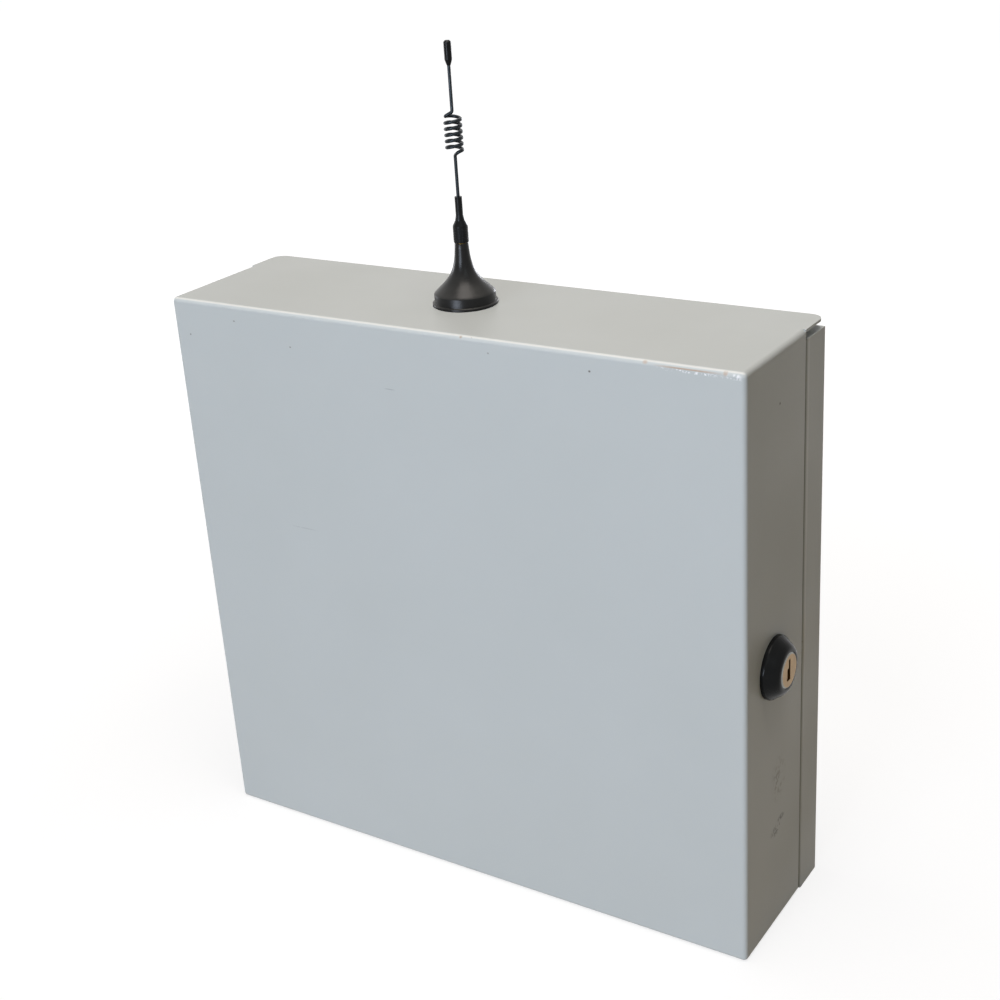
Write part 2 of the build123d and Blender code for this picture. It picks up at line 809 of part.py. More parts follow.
def switch_rocker():
    """Rocker with a dished front and two pivot pins, tipped to its off side."""
    x, _, _ = bracket_place()
    pivot_y, pivot_z = rocker_pivot()
    half_width = switch_body_width / 2 - switch_wall - rocker_clearance
    swing = switch_body_height / 2 - switch_wall - rocker_clearance
    half = math.sqrt(swing**2 - rocker_rise**2)
    outline = Polyline(
        (-rocker_rise, half),
        (-rocker_dip, 0),
        (-rocker_rise, -half),
        (0, -half),
        (rocker_back, 0),
        (0, half),
        close=True,
    )
    prism = extrude(Plane.YZ * make_face(outline), half_width, both=True)
    rocker = Pos(sum(x) / 2, pivot_y, pivot_z) * Rot(-rocker_tilt, 0, 0) * prism
    return rocker + pivot_rod(rocker_pin_radius, half_width + rocker_clearance + rocker_pin_reach)


# Control board


def board_hole_places():
    """X and Z of the six fixing holes of the control board."""
    x = grown((board_left, board_left + board_width), -board_hole_inset)
    z = grown((board_from_base, board_from_base + board_height), -board_hole_inset)
    return [(hole_x, hole_z) for hole_x in x for hole_z in (z[0], sum(z) / 2, z[1])]


def control_board():
    """Printed circuit board with rounded corners and its fixing holes."""
    x = (board_left, board_left + board_width)
    z = (board_from_base, board_from_base + board_height)
    board = span(x, (board_y, board_back_y), z)
    board = fillet(board.edges().filter_by(Axis.Y), board_corner_radius)
    for hole_x, hole_z in board_hole_places():
        ends = grown((board_y, board_back_y), overrun)
        board -= rod(board_hole_radius, (hole_x, ends[0], hole_z), (hole_x, ends[1], hole_z))
    return board


def board_standoffs():
    """Hexagon pillars between the pan's wall and the control board."""
    pillar = hexagon(standoff_across, 0, standoff_height)
    return [Pos(x, board_back_y, z) * Rot(-90, 0, 0) * pillar for x, z in board_hole_places()]


def board_screws():
    """Round-headed screws that hold the board on its pillars."""
    screws = []
    for x, z in board_hole_places():
        head = rod(screw_head_radius, (x, board_y - screw_head_height, z), (x, board_y, z))
        shank = rod(board_hole_radius - fit, (x, board_y, z), (x, board_back_y, z))
        screws.append(head + shank)
    return screws


def chip(size, shares):
    """A flat package on the board, given as width, height and thickness."""
    x, z = on_board(shares)
    return span(centred(x, size[0]), (board_y - size[2], board_y), centred(z, size[1]))


def relay(index):
    """Sealed relay that switches one lamp, with bevelled front edges."""
    place = ((index + 1 / 2) / relay_count, relay_row_share)
    block = chip((relay_width, relay_height, relay_depth), place)
    return chamfer(block.faces().sort_by(Axis.Y)[0].edges(), relay_edge)


def terminal_block(ways, pitch, centre_x, low_z, upright):
    """Row of screw terminals: wire entries on its outer side and screw wells in its front.

    upright is +1 where the entries face down and -1 where they face up.
    """
    chamfer_depth, chamfer_height = terminal_chamfer_shares
    shoulder = terminal_step_share * terminal_height
    outline = Polyline(
        (0, 0),
        (0, terminal_depth),
        (-shoulder, terminal_depth),
        (-terminal_height, terminal_depth * (1 - chamfer_depth)),
        (-terminal_height, terminal_depth * chamfer_height),
        (-shoulder, 0),
        close=True,
    )
    length = ways * pitch
    block = extrude(Plane.YZ * make_face(outline), length / 2, both=True)
    for index in range(ways):
        x = (index - (ways - 1) / 2) * pitch
        entry_y = centred(-shoulder / 2, terminal_entry)
        block -= span(centred(x, terminal_entry), entry_y, (-overrun, terminal_entry_depth))
        well_z = centred(terminal_depth * (1 - chamfer_depth + chamfer_height) / 2, terminal_well)
        well_y = (-terminal_height - overrun, -terminal_height + terminal_well_depth)
        block -= span(centred(x, terminal_well), well_y, well_z)
    turn = Rot(0, 0, 0) if upright > 0 else Rot(0, 180, 0)
    return Pos(centre_x, board_y, low_z) * turn * block


def lamp_block(side):
    """Lamp terminals along the board's lower edge: side is -1 for the left half and +1 for the right one."""
    middle, z = on_board((1 / 2, terminal_row_share))
    x = middle + side * (lamp_block_gap + lamp_length) / 2
    return terminal_block(lamp_ways, lamp_length / lamp_ways, x, z, 1)


def input_block():
    """Low-voltage input terminals at the board's upper edge."""
    x, z = on_board(input_place_shares)
    return terminal_block(input_ways, input_pitch, x, z, -1)


def processor():
    """Flat processor package with clipped corners."""
    block = chip((processor_side, processor_side, processor_thickness), processor_place_shares)
    return chamfer(block.edges().filter_by(Axis.Y), processor_corner)


def status_lights():
    """Row of small lights, one over each relay."""
    shares = [(index + 1 / 2) / light_count for index in range(light_count)]
    return [chip(light_size, (share, light_row_share)) for share in shares]


def button_switch(share):
    """Push switch with a round socket for its button."""
    x, z = on_board((share, button_row_share))
    body = chip((button_body_side, button_body_side, button_body_height), (share, button_row_share))
    mouth = board_y - button_body_height
    socket = rod(button_radius + fit, (x, mouth - overrun, z), (x, mouth + button_socket_depth, z))
    return body - socket


def button(share):
    """Round button standing out of its switch."""
    x, z = on_board((share, button_row_share))
    mouth = board_y - button_body_height
    foot = mouth + button_socket_depth - button_travel - seat_gap
    return rod(button_radius, (x, mouth - button_stand_out, z), (x, foot, z))


def battery_holder():
    """Open round cup for the clock's coin cell."""
    x, z = on_board(battery_place_shares)
    outer = battery_radius + fit + battery_holder_wall
    floor = board_y - (battery_holder_height - battery_thickness)
    cup = rod(outer, (x, board_y - battery_holder_height, z), (x, board_y, z))
    return cup - rod(battery_radius + fit, (x, board_y - battery_holder_height - overrun, z), (x, floor, z))


def clock_battery():
    """Coin cell that keeps the clock running."""
    x, z = on_board(battery_place_shares)
    floor = board_y - (battery_holder_height - battery_thickness)
    return rod(battery_radius, (x, floor - battery_thickness, z), (x, floor, z))


def fuse_axis():
    """X and Z of the lamp fuse's middle, and the Y of its axis."""
    x, z = on_board(fuse_place_shares)
    return x, z, board_y - fuse_holder_height + fuse_radius


def fuse_holder():
    """Base with two upright cheeks that carry the lamp fuse by its ends."""
    x, z, axis_y = fuse_axis()
    length = fuse_length + fit + fit
    outer_x = centred(x, length + sheet * 2)
    floor_y = axis_y + fuse_radius + fit
    holder = span(outer_x, (floor_y, board_y), centred(z, fuse_holder_width))
    cheeks = span(outer_x, (board_y - fuse_holder_height, board_y), centred(z, fuse_holder_width))
    gap_y = (board_y - fuse_holder_height - overrun, floor_y)
    gap_z = grown(centred(z, fuse_holder_width), overrun)
    cheeks -= span(centred(x, length - fuse_holder_end * 2), gap_y, gap_z)
    bed = rod(fuse_radius + fit, (x - length / 2, axis_y, z), (x + length / 2, axis_y, z))
    mouth_y = (board_y - fuse_holder_height - overrun, axis_y)
    bed += span(centred(x, length), mouth_y, centred(z, (fuse_radius + fit) * 2))
    return holder + cheeks - bed


def lamp_fuse():
    """Glass fuse with plated end caps, as one sealed piece."""
    x, z, axis_y = fuse_axis()
    half = fuse_length / 2
    return rod(fuse_radius, (x - half, axis_y, z), (x + half, axis_y, z))


def capacitor(share):
    """Round electrolytic capacitor, standing on the board, with a bevelled end."""
    x, z = on_board((share, capacitor_row_share))
    rise = Pos(x, board_y, z) * Rot(90, 0, 0)
    shoulder = (capacitor_radius, capacitor_height - capacitor_edge)
    brim = (capacitor_radius - capacitor_edge, capacitor_height)
    return rise * turned(
        Polyline((0, 0), (capacitor_radius, 0), shoulder, brim, (0, capacitor_height), (0, 0)),
    )


def radio_spans():
    """X and Z pairs of the radio's own board, and the Y of its front face."""
    x, z = on_board(radio_place_shares)
    face_y = board_y - radio_lift - radio_board_thickness
    return centred(x, radio_width), centred(z, radio_height), face_y


def radio_board():
    """Small board of the radio with the two pin strips that carry it."""
    x, z, face_y = radio_spans()
    board = span(x, (face_y, face_y + radio_board_thickness), z)
    for strip_x in ((x[0], x[0] + radio_header_width), (x[1] - radio_header_width, x[1])):
        board += span(strip_x, (face_y + radio_board_thickness, board_y), grown(z, -radio_can_margin))
    return board


def radio_can():
    """Pressed tin can that screens the radio."""
    x, z, face_y = radio_spans()
    can_z = (z[0] + radio_can_margin, z[1] - radio_can_margin - socket_flange)
    can = span(grown(x, -radio_can_margin), (face_y - radio_can_height, face_y), can_z)
    return chamfer(can.faces().sort_by(Axis.Y)[0].edges(), radio_can_edge)


def antenna_socket():
    """Coaxial socket at the upper edge of the radio, for the antenna's lead."""
    x, z, face_y = radio_spans()
    centre_x = sum(x) / 2
    axis_y = face_y - socket_flange / 2
    flange_z = (z[1] - socket_flange_thickness, z[1])
    base = span(centred(centre_x, socket_flange), (face_y - socket_flange, face_y), flange_z)
    barrel = rod(socket_radius, (centre_x, axis_y, z[1]), (centre_x, axis_y, z[1] + socket_length))
    mouth = z[1] + socket_length
    floor, past = (centre_x, axis_y, mouth - socket_bore_depth), (centre_x, axis_y, mouth + overrun)
    return base + barrel - rod(socket_bore_radius, floor, past)


# Earth stud


def earth_stud():
    """Threaded stud welded to the pan's wall."""
    x = left_x + earth_from_left
    end = (x, wall_y - earth_stud_length, earth_from_base)
    return rod(earth_stud_radius, end, (x, wall_y, earth_from_base))


def earth_nut():
    """Hexagon nut run down the stud to the wall."""
    nut = hexagon(earth_nut_across, 0, earth_nut_thickness)
    nut -= rod(earth_stud_radius + fit, (0, 0, -overrun), (0, 0, earth_nut_thickness + overrun))
    return Pos(left_x + earth_from_left, wall_y, earth_from_base) * Rot(90, 0, 0) * nut


def sub_parts():
    """Every piece of the controller, by the name of its node."""
    pieces = {
        "front_cover": front_cover(),
        "rear_pan": rear_pan(),
        "lock_shroud": lock_shroud(),
        "lock_barrel": lock_barrel(),
        "lock_plug": lock_plug(),
        "lock_nut": lock_nut(),
        "lock_cam": lock_cam(),
        "cam_screw": cam_screw(),
        "antenna_foot": antenna_foot(),
        "antenna_magnet": antenna_magnet(),
        "antenna_stud": antenna_stud(),
        "antenna_ferrule": antenna_ferrule(),
        "antenna_whip": antenna_whip(),
        "antenna_tip": antenna_tip(),
        "supply_chassis": supply_chassis(),
        "supply_cover": supply_cover(),
        "supply_board": supply_board(),
        "supply_transformer": supply_transformer(),
        "supply_terminals": supply_terminals(),
        "mains_terminals": mains_block(),
        "switch_bracket": switch_bracket(),
        "switch_body": switch_body(),
        "switch_rocker": switch_rocker(),
        "control_board": control_board(),
        "board_standoffs": board_standoffs(),
        "board_screws": board_screws(),
        "input_terminals": input_block(),
        "processor": processor(),
        "status_lights": status_lights(),
        "battery_holder": battery_holder(),
        "clock_battery": clock_battery(),
        "fuse_holder": fuse_holder(),
        "lamp_fuse": lamp_fuse(),
        "radio_board": radio_board(),
        "radio_can": radio_can(),
        "antenna_socket": antenna_socket(),
        "earth_stud": earth_stud(),
        "earth_nut": earth_nut(),
    }
    for place, low_z in (("upper", hinge_upper_z), ("lower", hinge_lower_z)):
        lowest, middle, highest = knuckle_spans(low_z)
        pieces[f"{place}_hinge_pan_leaf"] = hinge_leaf_plate(low_z, 1, [lowest, highest])
        pieces[f"{place}_hinge_cover_leaf"] = hinge_leaf_plate(low_z, -1, [middle])
        pieces[f"{place}_hinge_pin"] = hinge_pin(low_z)
    for index in range(relay_count):
        pieces[f"lamp_relay_{index + 1}"] = relay(index)
    for name, side in (("left", -1), ("right", 1)):
        pieces[f"lamp_terminals_{name}"] = lamp_block(side)
    for side, share in zip(("left", "right"), driver_shares):
        pieces[f"driver_chip_{side}"] = chip(driver_size, (share, driver_row_share))
    for side, share in zip(("left", "right"), capacitor_shares):
        pieces[f"capacitor_{side}"] = capacitor(share)
    for name, share in zip(("step", "reset"), button_shares):
        pieces[f"{name}_switch"] = button_switch(share)
        pieces[f"{name}_button"] = button(share)
    return pieces


os.makedirs("parts", exist_ok=True)
for name, piece in sub_parts().items():
    solids = piece if isinstance(piece, list) else piece.solids()
    shape = Compound(children=solids) if len(solids) > 1 else solids[0]
    export_step(shape, f"parts/{name}.step")
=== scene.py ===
"""Looks of the traffic signal controller: finishes, small pieces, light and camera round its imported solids."""
from __future__ import annotations

import json
import logging
import math
from dataclasses import dataclass
from enum import Enum
from typing import Callable, Iterable, Sequence

import bmesh
import bpy
from bpy.types import Material, Node, NodeSocket, NodeTree
from bpy.types import Object as Piece
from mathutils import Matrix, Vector

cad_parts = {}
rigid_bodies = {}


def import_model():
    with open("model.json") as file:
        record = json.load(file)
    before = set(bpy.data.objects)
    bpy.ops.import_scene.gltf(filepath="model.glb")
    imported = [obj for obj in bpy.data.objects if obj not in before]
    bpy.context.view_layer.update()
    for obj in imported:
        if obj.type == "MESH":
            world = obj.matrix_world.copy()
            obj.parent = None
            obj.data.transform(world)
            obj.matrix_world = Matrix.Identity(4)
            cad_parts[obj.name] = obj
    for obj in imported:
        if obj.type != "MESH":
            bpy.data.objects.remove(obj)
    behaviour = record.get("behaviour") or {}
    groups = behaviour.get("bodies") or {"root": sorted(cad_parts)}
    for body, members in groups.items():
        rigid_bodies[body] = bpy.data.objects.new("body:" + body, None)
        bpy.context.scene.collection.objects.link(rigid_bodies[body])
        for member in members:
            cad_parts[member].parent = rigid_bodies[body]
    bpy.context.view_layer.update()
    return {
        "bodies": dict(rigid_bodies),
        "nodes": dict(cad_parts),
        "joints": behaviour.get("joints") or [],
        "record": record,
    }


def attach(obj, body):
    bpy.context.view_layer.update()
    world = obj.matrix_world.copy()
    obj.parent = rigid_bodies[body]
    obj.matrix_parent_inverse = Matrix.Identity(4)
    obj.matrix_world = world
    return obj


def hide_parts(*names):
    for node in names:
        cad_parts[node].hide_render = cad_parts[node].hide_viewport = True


LOG = logging.getLogger("signal_controller")
MM = 0.001
# Points nearer to each other than this are merged
WELD = 0.002 * MM
# A face whose normal has at least this share along an axis faces that way
SQUARE_ON = 0.9
# How far a wave texture runs over one unit at a scale of 1
WAVE_RADIANS = 20.0
Pair = tuple[float, float]
Point = tuple[float, float, float]


class Body(Enum):
    """The rigid bodies that the new pieces ride on."""

    REAR_BOX = "rear_box"
    COVER = "cover"


class Facing(Enum):
    """The way that a small piece made on +Z is turned to face."""

    UP = (0.0, 0.0, 0.0)
    FRONT = (math.pi / 2, 0.0, 0.0)
    FRONT_TURNED = (math.pi / 2, math.pi / 4, 0.0)
    RIGHT = (0.0, math.pi / 2, 0.0)
    LEFT = (0.0, -math.pi / 2, 0.0)


class Part(Enum):
    """What a selection in edit mode picks."""

    FACES = "FACE"
    EDGES = "EDGE"


def mm(*lengths: float) -> Vector:
    """A point or move given in millimetres, in metres."""
    return Vector([length * MM for length in lengths])


def per_mm(size: float) -> float:
    """A texture's scale on coordinates in metres, for a pattern of that size in millimetres."""
    return 1.0 / (size * MM)


def linear(colour: str) -> tuple[float, float, float, float]:
    """An sRGB hex colour as linear red, green, blue and full alpha.

    Args:
        colour: The colour as "#rrggbb".

    Returns:
        The four channels as Blender's sockets take them.
    """
    channels = [int(colour[place : place + 2], 16) / 255 for place in (1, 3, 5)]
    light = [c / 12.92 if c <= 0.04045 else ((c + 0.055) / 1.055) ** 2.4 for c in channels]
    return (light[0], light[1], light[2], 1.0)


def add_node(tree: NodeTree, kind: str, sockets: dict[str | int, object] | None = None, **settings: object) -> Node:
    """Adds a node with its settings, and links or fills its inputs.

    Args:
        tree: The node tree that gets the node.
        kind: The node's type name after the word that all of them start with.
        sockets: Inputs by name or place: a plain value, a socket, or a node, which gives its first live output.
        **settings: The node's own properties.

    Returns:
        The new node.
    """
    node = tree.nodes.new(f"ShaderNode{kind}")
    for name, value in settings.items():
        setattr(node, name, value)
    for key, value in (sockets or {}).items():
        if isinstance(value, Node):
            value = next(socket for socket in value.outputs if socket.enabled)
        if isinstance(value, NodeSocket):
            tree.links.new(value, node.inputs[key])
        else:
            node.inputs[key].default_value = value
    return node


# Finishes


@dataclass(frozen=True)
class Finish:
    """What every finish has: a name, a colour and the shader's plain values."""

    name: str
    colour: str
    roughness: float
    metallic: float = 0.0

    def material(self) -> Material:
        """Makes the material, with the finish's pattern on its shader.

        Returns:
            The finished material.
        """
        made = bpy.data.materials.new(self.name)
        made.use_nodes = True
        tree = made.node_tree
        tree.nodes.clear()
        place = add_node(tree, "TexCoord").outputs["Object"]
        plain = {"Base Color": linear(self.colour), "Roughness": self.roughness, "Metallic": self.metallic}
        shader = add_node(tree, "BsdfPrincipled", {**plain, **self.paint(tree, place)})
        add_node(tree, "OutputMaterial", {"Surface": shader})
        return made

    def paint(self, tree: NodeTree, place: NodeSocket) -> dict[str, object]:
        """The finish's pattern.

        Args:
            tree: The material's node tree.
            place: Object coordinates.

        Returns:
            What goes into the shader's inputs in place of the plain values.
        """
        raise NotImplementedError


@dataclass(frozen=True)
class Mark:
    """A coloured mark on a coated face, used for handling marks and for painted highlights, glints and shade.

    Its place, its reach and its grain are in millimetres. Where the grain's noise is below its gap, from 0 to 1, the
    coat shows through. A square mark keeps its strength out to its ends, and others fade from their middle.
    """

    place: Point
    reach: Point
    colour: str
    strength: float
    grain: float
    gap: float = 0.5
    square: bool = False


@dataclass(frozen=True)
class PowderCoat(Finish):
    """Polyester powder coat on folded steel.

    It gives the eye a soft, even light grey with a faint mottle, a slight orange peel that breaks up the gloss, and
    chips along the edges that have been knocked. Its marks add handling marks, and also painted highlights, painted
    glints and painted shade, such as a bright thin line painted on a bend. Its sizes are in millimetres, and its
    limits are levels of a noise from 0 to 1.
    """

    low: Point = (0.0, 0.0, 0.0)
    high: Point = (0.0, 0.0, 0.0)
    mottle: float = 70.0
    mottle_colour: str = "#c3c8c6"
    mottle_limits: Pair = (0.3, 0.7)
    gloss_spread: float = 0.05
    peel: float = 1.5
    peel_depth: float = 0.05
    peel_strength: float = 0.55
    chip: float = 2.4
    chip_run: float = 38.4
    chip_limits: Pair = (0.46, 0.5)
    chip_colour: str = "#8a7a66"
    edge_reach: Pair = (0.45, 1.5)
    mark_core: float = 0.35
    mark_tear: float = 0.06
    marks: tuple[Mark, ...] = ()
    shine: float = 0.15

    def edge_distance(self, tree: NodeTree, place: NodeSocket) -> Node:
        """Distance from a point of the shell to the nearest edge of its box.

        Args:
            tree: The material's node tree.
            place: Object coordinates.

        Returns:
            The node that gives the distance in metres.
        """
        middle = (Vector(self.low) + Vector(self.high)) * MM / 2
        half = (Vector(self.high) - Vector(self.low)) * MM / 2
        centred = add_node(tree, "VectorMath", {0: place, 1: middle}, operation="SUBTRACT")
        spread = add_node(tree, "VectorMath", {0: centred}, operation="ABSOLUTE")
        depth = add_node(tree, "VectorMath", {0: half, 1: spread}, operation="SUBTRACT")
        x, y, z = add_node(tree, "SeparateXYZ", {0: depth}).outputs
        nearer = add_node(tree, "Math", {0: x, 1: y}, operation="MINIMUM")
        farther = add_node(tree, "Math", {0: x, 1: y}, operation="MAXIMUM")
        other = add_node(tree, "Math", {0: farther, 1: z}, operation="MINIMUM")
        return add_node(tree, "Math", {0: nearer, 1: other}, operation="MAXIMUM")

    def chips(self, tree: NodeTree, place: NodeSocket) -> Node:
        """Where the coat is chipped off along the edges.

        Args:
            tree: The material's node tree.
            place: Object coordinates.

        Returns:
            The node that gives 1 for bare metal and 0 for whole coat.
        """
        whole, gone = self.edge_reach
        few, many = self.chip_limits
        edge = self.edge_distance(tree, place)
        near = add_node(tree, "MapRange", {0: edge, 1: whole * MM, 2: gone * MM, 3: 1.0, 4: 0.0})
        lumps = add_node(tree, "TexNoise", {"Vector": place, "Scale": per_mm(self.chip), "Detail": 3.0})
        runs = add_node(tree, "TexNoise", {"Vector": place, "Scale": per_mm(self.chip_run), "Detail": 1.0})
        both = add_node(tree, "Math", {0: lumps, 1: runs}, operation="MULTIPLY")
        sharp = add_node(tree, "MapRange", {0: both, 1: few, 2: many, 3: 0.0, 4: 1.0})
        return add_node(tree, "Math", {0: near, 1: sharp}, operation="MULTIPLY")

    def mark_mask(self, tree: NodeTree, place: NodeSocket, mark: Mark) -> Node:
        """How strongly one mark shows at a point, from 0 to 1.

        Args:
            tree: The material's node tree.
            place: Object coordinates.
            mark: The mark.

        Returns:
            The node that gives the mask.
        """
        scale = Vector([per_mm(reach) for reach in mark.reach])
        moved = add_node(tree, "VectorMath", {0: place, 1: mm(*mark.place)}, operation="SUBTRACT")
        sized = add_node(tree, "VectorMath", {0: moved, 1: scale}, operation="MULTIPLY")
        if mark.square:
            spread = add_node(tree, "VectorMath", {0: sized}, operation="ABSOLUTE")
            x, y, z = add_node(tree, "SeparateXYZ", {0: spread}).outputs
            widest = add_node(tree, "Math", {0: x, 1: y}, operation="MAXIMUM")
            far = add_node(tree, "Math", {0: widest, 1: z}, operation="MAXIMUM")
        else:
            far = add_node(tree, "VectorMath", {0: sized}, operation="LENGTH")
        near = add_node(tree, "MapRange", {0: far, 1: self.mark_core, 2: 1.0, 3: mark.strength, 4: 0.0})
        noise = add_node(tree, "TexNoise", {"Vector": place, "Scale": per_mm(mark.grain), "Detail": 4.0})
        bare, full = mark.gap - self.mark_tear, mark.gap + self.mark_tear
        torn = add_node(tree, "MapRange", {0: noise, 1: bare, 2: full, 3: 0.0, 4: 1.0})
        return add_node(tree, "Math", {0: near, 1: torn}, operation="MULTIPLY")

    def paint(self, tree: NodeTree, place: NodeSocket) -> dict[str, object]:
        """Mottle, orange peel, chips and marks.

        Args:
            tree: The material's node tree.
            place: Object coordinates.

        Returns:
            What goes into the shader's inputs.
        """
        clouds = add_node(tree, "TexNoise", {"Vector": place, "Scale": per_mm(self.mottle), "Detail": 4.0})
        chips = self.chips(tree, place)
        layers = [(clouds, self.mottle_colour)]
        layers += [(self.mark_mask(tree, place, mark), mark.colour) for mark in self.marks]
        colour: Node | tuple[float, ...] = linear(self.colour)
        for mask, shade in [*layers, (chips, self.chip_colour)]:
            colour = add_node(tree, "Mix", {0: mask, 6: colour, 7: linear(shade)}, data_type="RGBA")
        low, high = self.mottle_limits
        smooth, rough = self.roughness - self.gloss_spread, self.roughness + self.gloss_spread
        gloss = add_node(tree, "MapRange", {0: clouds, 1: low, 2: high, 3: smooth, 4: rough})
        skin = {"Vector": place, "Scale": per_mm(self.peel), "Detail": 1.0, "Roughness": 0.4}
        height = add_node(tree, "Math", {0: add_node(tree, "TexNoise", skin), 1: chips}, operation="SUBTRACT")
        relief = {"Strength": self.peel_strength, "Distance": self.peel_depth * MM, "Height": height}
        bump = add_node(tree, "Bump", relief)
        return {"Base Color": colour, "Roughness": gloss, "Normal": bump, "Specular IOR Level": self.shine}


@dataclass(frozen=True)
class Moulding(Finish):
    """Injection-moulded ABS or polyamide.

    It gives the eye an even colour with a spark-eroded grain that softens its highlights, and a little grey dust on
    what faces up, which where it is laid on thickly also serves as a painted sheen from the light above. Sizes are in
    millimetres, and the grain is drawn several times coarser than a real one so that it shows.
    """

    grain: float = 0.5
    grain_depth: float = 0.012
    grain_strength: float = 0.5
    patch: float = 9.0
    patch_limits: Pair = (0.3, 0.7)
    gloss_spread: float = 0.06
    dust_and_sheen_colour: str = "#8d8a83"
    dust_and_sheen: float = 0.05
    dust_and_sheen_slope: Pair = (0.3, 0.9)
    dust_and_sheen_upright: float = 0.05
    shine: float = 0.5

    def paint(self, tree: NodeTree, place: NodeSocket) -> dict[str, object]:
        """The mould's grain, and the dust on what faces up, which where thick is also a painted sheen.

        Args:
            tree: The material's node tree.
            place: Object coordinates.

        Returns:
            What goes into the shader's inputs.
        """
        grain = add_node(tree, "TexNoise", {"Vector": place, "Scale": per_mm(self.grain), "Detail": 2.0})
        patches = add_node(tree, "TexNoise", {"Vector": place, "Scale": per_mm(self.patch), "Detail": 3.0})
        normal = add_node(tree, "NewGeometry").outputs["Normal"]
        upward = add_node(tree, "SeparateXYZ", {0: normal}).outputs[2]
        # Dust on what faces up, which where its amount is high is also a painted sheen from the light above
        steep, level = self.dust_and_sheen_slope
        thin = self.dust_and_sheen * self.dust_and_sheen_upright
        lying = add_node(tree, "MapRange", {0: upward, 1: steep, 2: level, 3: thin, 4: self.dust_and_sheen})
        dust_and_sheen_mask = add_node(tree, "Math", {0: lying, 1: patches}, operation="MULTIPLY")
        shades = {0: dust_and_sheen_mask, 6: linear(self.colour), 7: linear(self.dust_and_sheen_colour)}
        colour = add_node(tree, "Mix", shades, data_type="RGBA")
        low, high = self.patch_limits
        smooth, rough = self.roughness - self.gloss_spread, self.roughness + self.gloss_spread
        gloss = add_node(tree, "MapRange", {0: patches, 1: low, 2: high, 3: smooth, 4: rough})
        relief = {"Strength": self.grain_strength, "Distance": self.grain_depth * MM, "Height": grain}
        bump = add_node(tree, "Bump", relief)
        return {"Base Color": colour, "Roughness": gloss, "Normal": bump, "Specular IOR Level": self.shine}


@dataclass(frozen=True)
class Metal(Finish):
    """Turned, drawn, plated or rolled metal.

    It gives the eye a coloured reflection drawn out by fine tool or rolling lines, with duller, darker patches where
    it has been handled or has aged. Sizes are in millimetres, and the lines are drawn coarser than real ones so that
    they show.
    """

    line: float = 0.35
    line_depth: float = 0.01
    line_limits: Pair = (0.25, 0.75)
    stretch: Point = (1.0, 1.0, 14.0)
    gloss_shares: Pair = (0.75, 1.3)
    tarnish: float = 6.0
    tarnish_colour: str = "#6c665e"
    tarnish_share: float = 0.35
    tarnish_limits: Pair = (0.45, 0.7)
    thread: float = 0.0
    relief_strength: float = 0.4

    def paint(self, tree: NodeTree, place: NodeSocket) -> dict[str, object]:
        """The tool lines, the tarnish, and a thread where the piece has one.

        Args:
            tree: The material's node tree.
            place: Object coordinates.

        Returns:
            What goes into the shader's inputs.
        """
        drawn = add_node(tree, "Mapping", {0: place, 3: [1.0 / length for length in self.stretch]})
        lines = add_node(tree, "TexNoise", {"Vector": drawn, "Scale": per_mm(self.line), "Detail": 2.0})
        aged = add_node(tree, "TexNoise", {"Vector": place, "Scale": per_mm(self.tarnish), "Detail": 5.0})
        clean, worn = self.tarnish_limits
        dull = add_node(tree, "MapRange", {0: aged, 1: clean, 2: worn, 3: 0.0, 4: self.tarnish_share})
        shades = {0: dull, 6: linear(self.colour), 7: linear(self.tarnish_colour)}
        colour = add_node(tree, "Mix", shades, data_type="RGBA")
        low, high = self.line_limits
        smooth, rough = [self.roughness * share for share in self.gloss_shares]
        gloss = add_node(tree, "MapRange", {0: lines, 1: low, 2: high, 3: smooth, 4: rough})
        height, depth = lines.outputs[0], self.line_depth
        if self.thread:
            scale = 2 * math.pi / (WAVE_RADIANS * self.thread * MM)
            waves = add_node(tree, "TexWave", {"Vector": place, "Scale": scale}, bands_direction="Z")
            height, depth = waves.outputs["Fac"], self.thread / 3
        bump = add_node(tree, "Bump", {"Strength": self.relief_strength, "Distance": depth * MM, "Height": height})
        return {"Base Color": colour, "Roughness": gloss, "Normal": bump}


